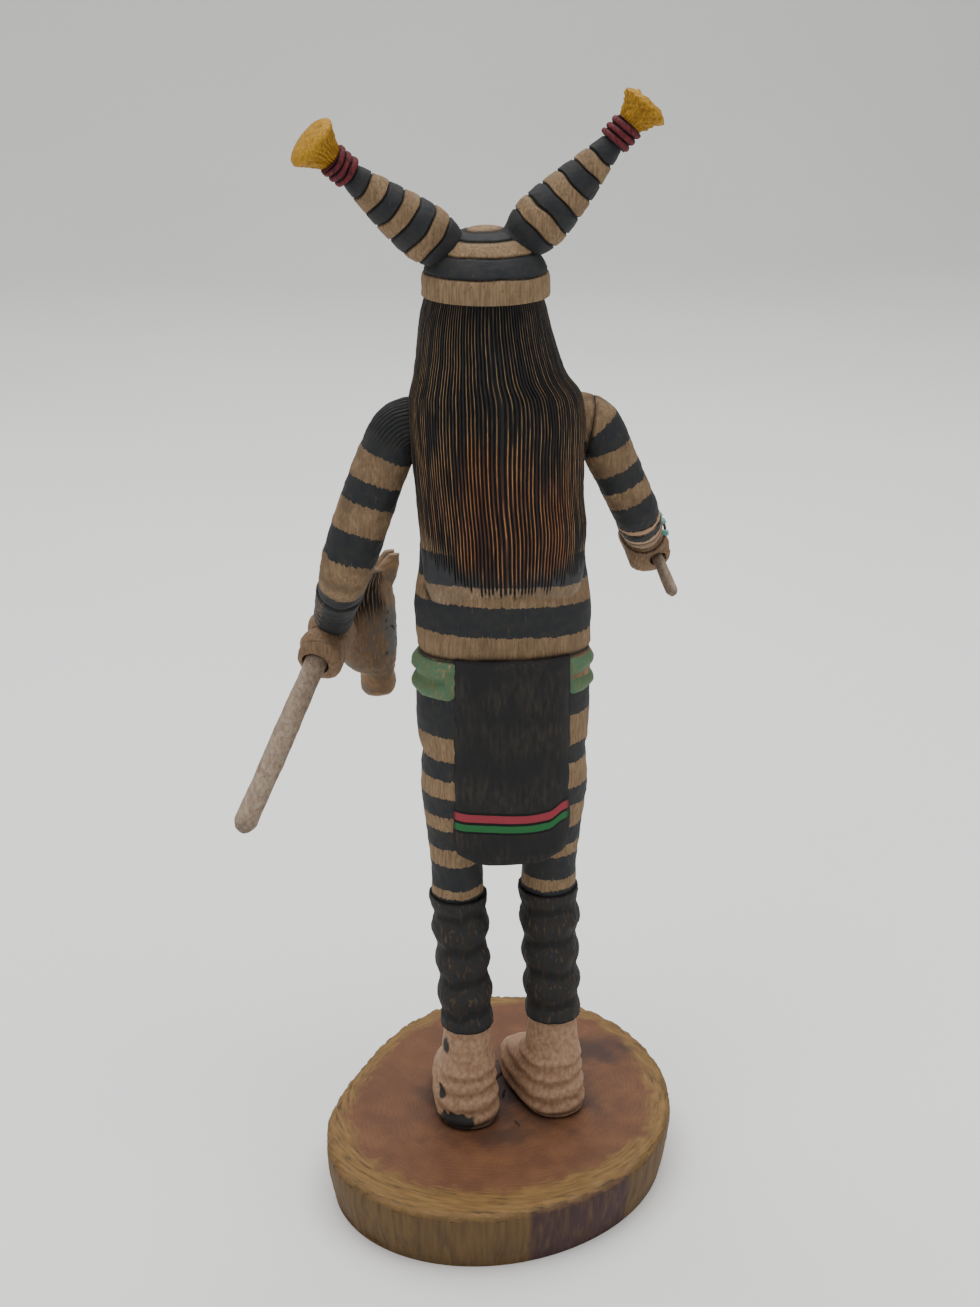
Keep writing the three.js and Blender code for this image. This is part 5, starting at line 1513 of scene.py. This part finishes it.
def build_stage(scene):
    """The studio paper, its soft lights and the camera."""
    sizes, colours = scene.doll_sizes, scene.doll_colours
    wide, near, far, bend, tall = 3.0, 2.0, -1.9, 0.5, 2.0
    profile = [(near, 0.0), (far + bend, 0.0)]
    for a in np.linspace(0, math.pi / 2, 16)[1:]:
        profile.append((far + bend * (1 - math.sin(a)), bend * (1 - math.cos(a))))
    profile.append((far, tall))
    points = [(x, y, z) for y, z in profile for x in (-wide, wide)]
    faces = [(2 * i, 2 * i + 2, 2 * i + 3, 2 * i + 1) for i in range(len(profile) - 1)]
    mesh = bpy.data.meshes.new("studio_paper")
    mesh.from_pydata(points, [], faces)
    mesh.polygons.foreach_set("use_smooth", [True] * len(mesh.polygons))
    mesh.materials.append(studio_material(colours))
    paper = stood("studio_paper", mesh)

    world = bpy.data.worlds.new("studio_air")
    world.use_nodes = True
    world.node_tree.nodes["Background"].inputs[0].default_value = WHITE
    world.node_tree.nodes["Background"].inputs[1].default_value = AIR_LIGHT
    scene.world = world
    for name, spot, size, power in SOFTBOXES:
        lamp = bpy.data.lights.new(name, "AREA")
        lamp.energy, lamp.size = power, size
        holder = stood(name, lamp)
        holder.location = spot
        holder.rotation_euler = (Vector(LIT_SPOT) - Vector(spot)).to_track_quat("-Z", "Y").to_euler()

    camera = bpy.data.cameras.new("camera")
    camera.sensor_width, camera.lens = 36.0, sizes.lens
    camera.clip_start, camera.clip_end = 0.01, 20.0
    swing, pitch = sizes.swing, sizes.pitch
    right = Vector((-math.cos(swing), math.sin(swing), 0))
    ahead = Vector((-math.sin(swing) * math.cos(pitch), -math.cos(swing) * math.cos(pitch), -math.sin(pitch)))
    up = right.cross(ahead)
    spot = Vector((math.sin(swing) * sizes.reach, math.cos(swing) * sizes.reach, BASE_TOP + sizes.rise))
    spot -= right * sizes.aside
    holder = stood("camera", camera)
    holder.matrix_world = Matrix.Translation(spot) @ Matrix((right, up, -ahead)).transposed().to_4x4()
    scene.camera = holder


class Step:
    """One step of the making, which runs its builders in turn."""
    builders = ()

    def execute(self, context):
        for build in self.builders:
            build(context.scene)
        return {"FINISHED"}


class DOLL_OT_stage(Step, bpy.types.Operator):
    """Set up the studio paper, the soft lights and the camera"""
    bl_idname = "doll.stage"
    bl_label = "Stage"
    builders = (build_stage,)


class DOLL_OT_base(Step, bpy.types.Operator):
    """Cut the slice of trunk that the doll stands on"""
    bl_idname = "doll.base"
    bl_label = "Base"
    builders = (build_base,)


class DOLL_OT_body(Step, bpy.types.Operator):
    """Carve and paint the torso, the belt and the breechcloth"""
    bl_idname = "doll.body"
    bl_label = "Body"
    builders = (build_torso, build_belt, build_flaps)


class DOLL_OT_legs(Step, bpy.types.Operator):
    """Carve and paint the thighs, the leggings and the moccasins"""
    bl_idname = "doll.legs"
    bl_label = "Legs"
    builders = (build_legs,)


class DOLL_OT_head(Step, bpy.types.Operator):
    """Carve and paint the face and the striped cap"""
    bl_idname = "doll.head"
    bl_label = "Head"
    builders = (build_head, build_cap)


class DOLL_OT_hair(Step, bpy.types.Operator):
    """Carve the long hair and burn its strokes"""
    bl_idname = "doll.hair"
    bl_label = "Hair"
    builders = (build_hair,)


class DOLL_OT_horns(Step, bpy.types.Operator):
    """Carve the two horns with their bindings and tassels"""
    bl_idname = "doll.horns"
    bl_label = "Horns"
    builders = (build_horns,)


class DOLL_OT_arms(Step, bpy.types.Operator):
    """Carve the arms and the fists"""
    bl_idname = "doll.arms"
    bl_label = "Arms"
    builders = (build_arms, build_fists)


class DOLL_OT_sticks(Step, bpy.types.Operator):
    """Whittle the two sticks"""
    bl_idname = "doll.sticks"
    bl_label = "Sticks"
    builders = (build_sticks,)


class DOLL_OT_horse(Step, bpy.types.Operator):
    """Carve and paint the head of the stick horse"""
    bl_idname = "doll.horse"
    bl_label = "Horse"
    builders = (build_horse,)


class DOLL_OT_bracelet(Step, bpy.types.Operator):
    """String the turquoise chips round the right wrist"""
    bl_idname = "doll.bracelet"
    bl_label = "Bracelet"
    builders = (build_bracelet,)


STEPS = ("stage", "base", "body", "legs", "head", "hair", "horns", "arms", "sticks", "horse", "bracelet")


class DOLL_PT_panel(bpy.types.Panel):
    """Lists the steps that make the doll"""
    bl_idname = "DOLL_PT_panel"
    bl_label = "Carved clown doll"
    bl_space_type = "VIEW_3D"
    bl_region_type = "UI"
    bl_category = "Doll"

    def draw(self, context):
        for step in STEPS:
            self.layout.operator("doll." + step)
        for key in DollSizes.__annotations__:
            self.layout.prop(context.scene.doll_sizes, key)


CLASSES = (
    DollColours, DollSizes, DOLL_OT_stage, DOLL_OT_base, DOLL_OT_body, DOLL_OT_legs, DOLL_OT_head, DOLL_OT_hair,
    DOLL_OT_horns, DOLL_OT_arms, DOLL_OT_sticks, DOLL_OT_horse, DOLL_OT_bracelet, DOLL_PT_panel,
)


def register():
    for cls in CLASSES:
        bpy.utils.register_class(cls)
    bpy.types.Scene.doll_colours = bpy.props.PointerProperty(type=DollColours)
    bpy.types.Scene.doll_sizes = bpy.props.PointerProperty(type=DollSizes)


def unregister():
    del bpy.types.Scene.doll_sizes
    del bpy.types.Scene.doll_colours
    for cls in reversed(CLASSES):
        bpy.utils.unregister_class(cls)


def main():
    register()
    for step in STEPS:
        getattr(bpy.ops.doll, step)()


if __name__ == "__main__":
    main()
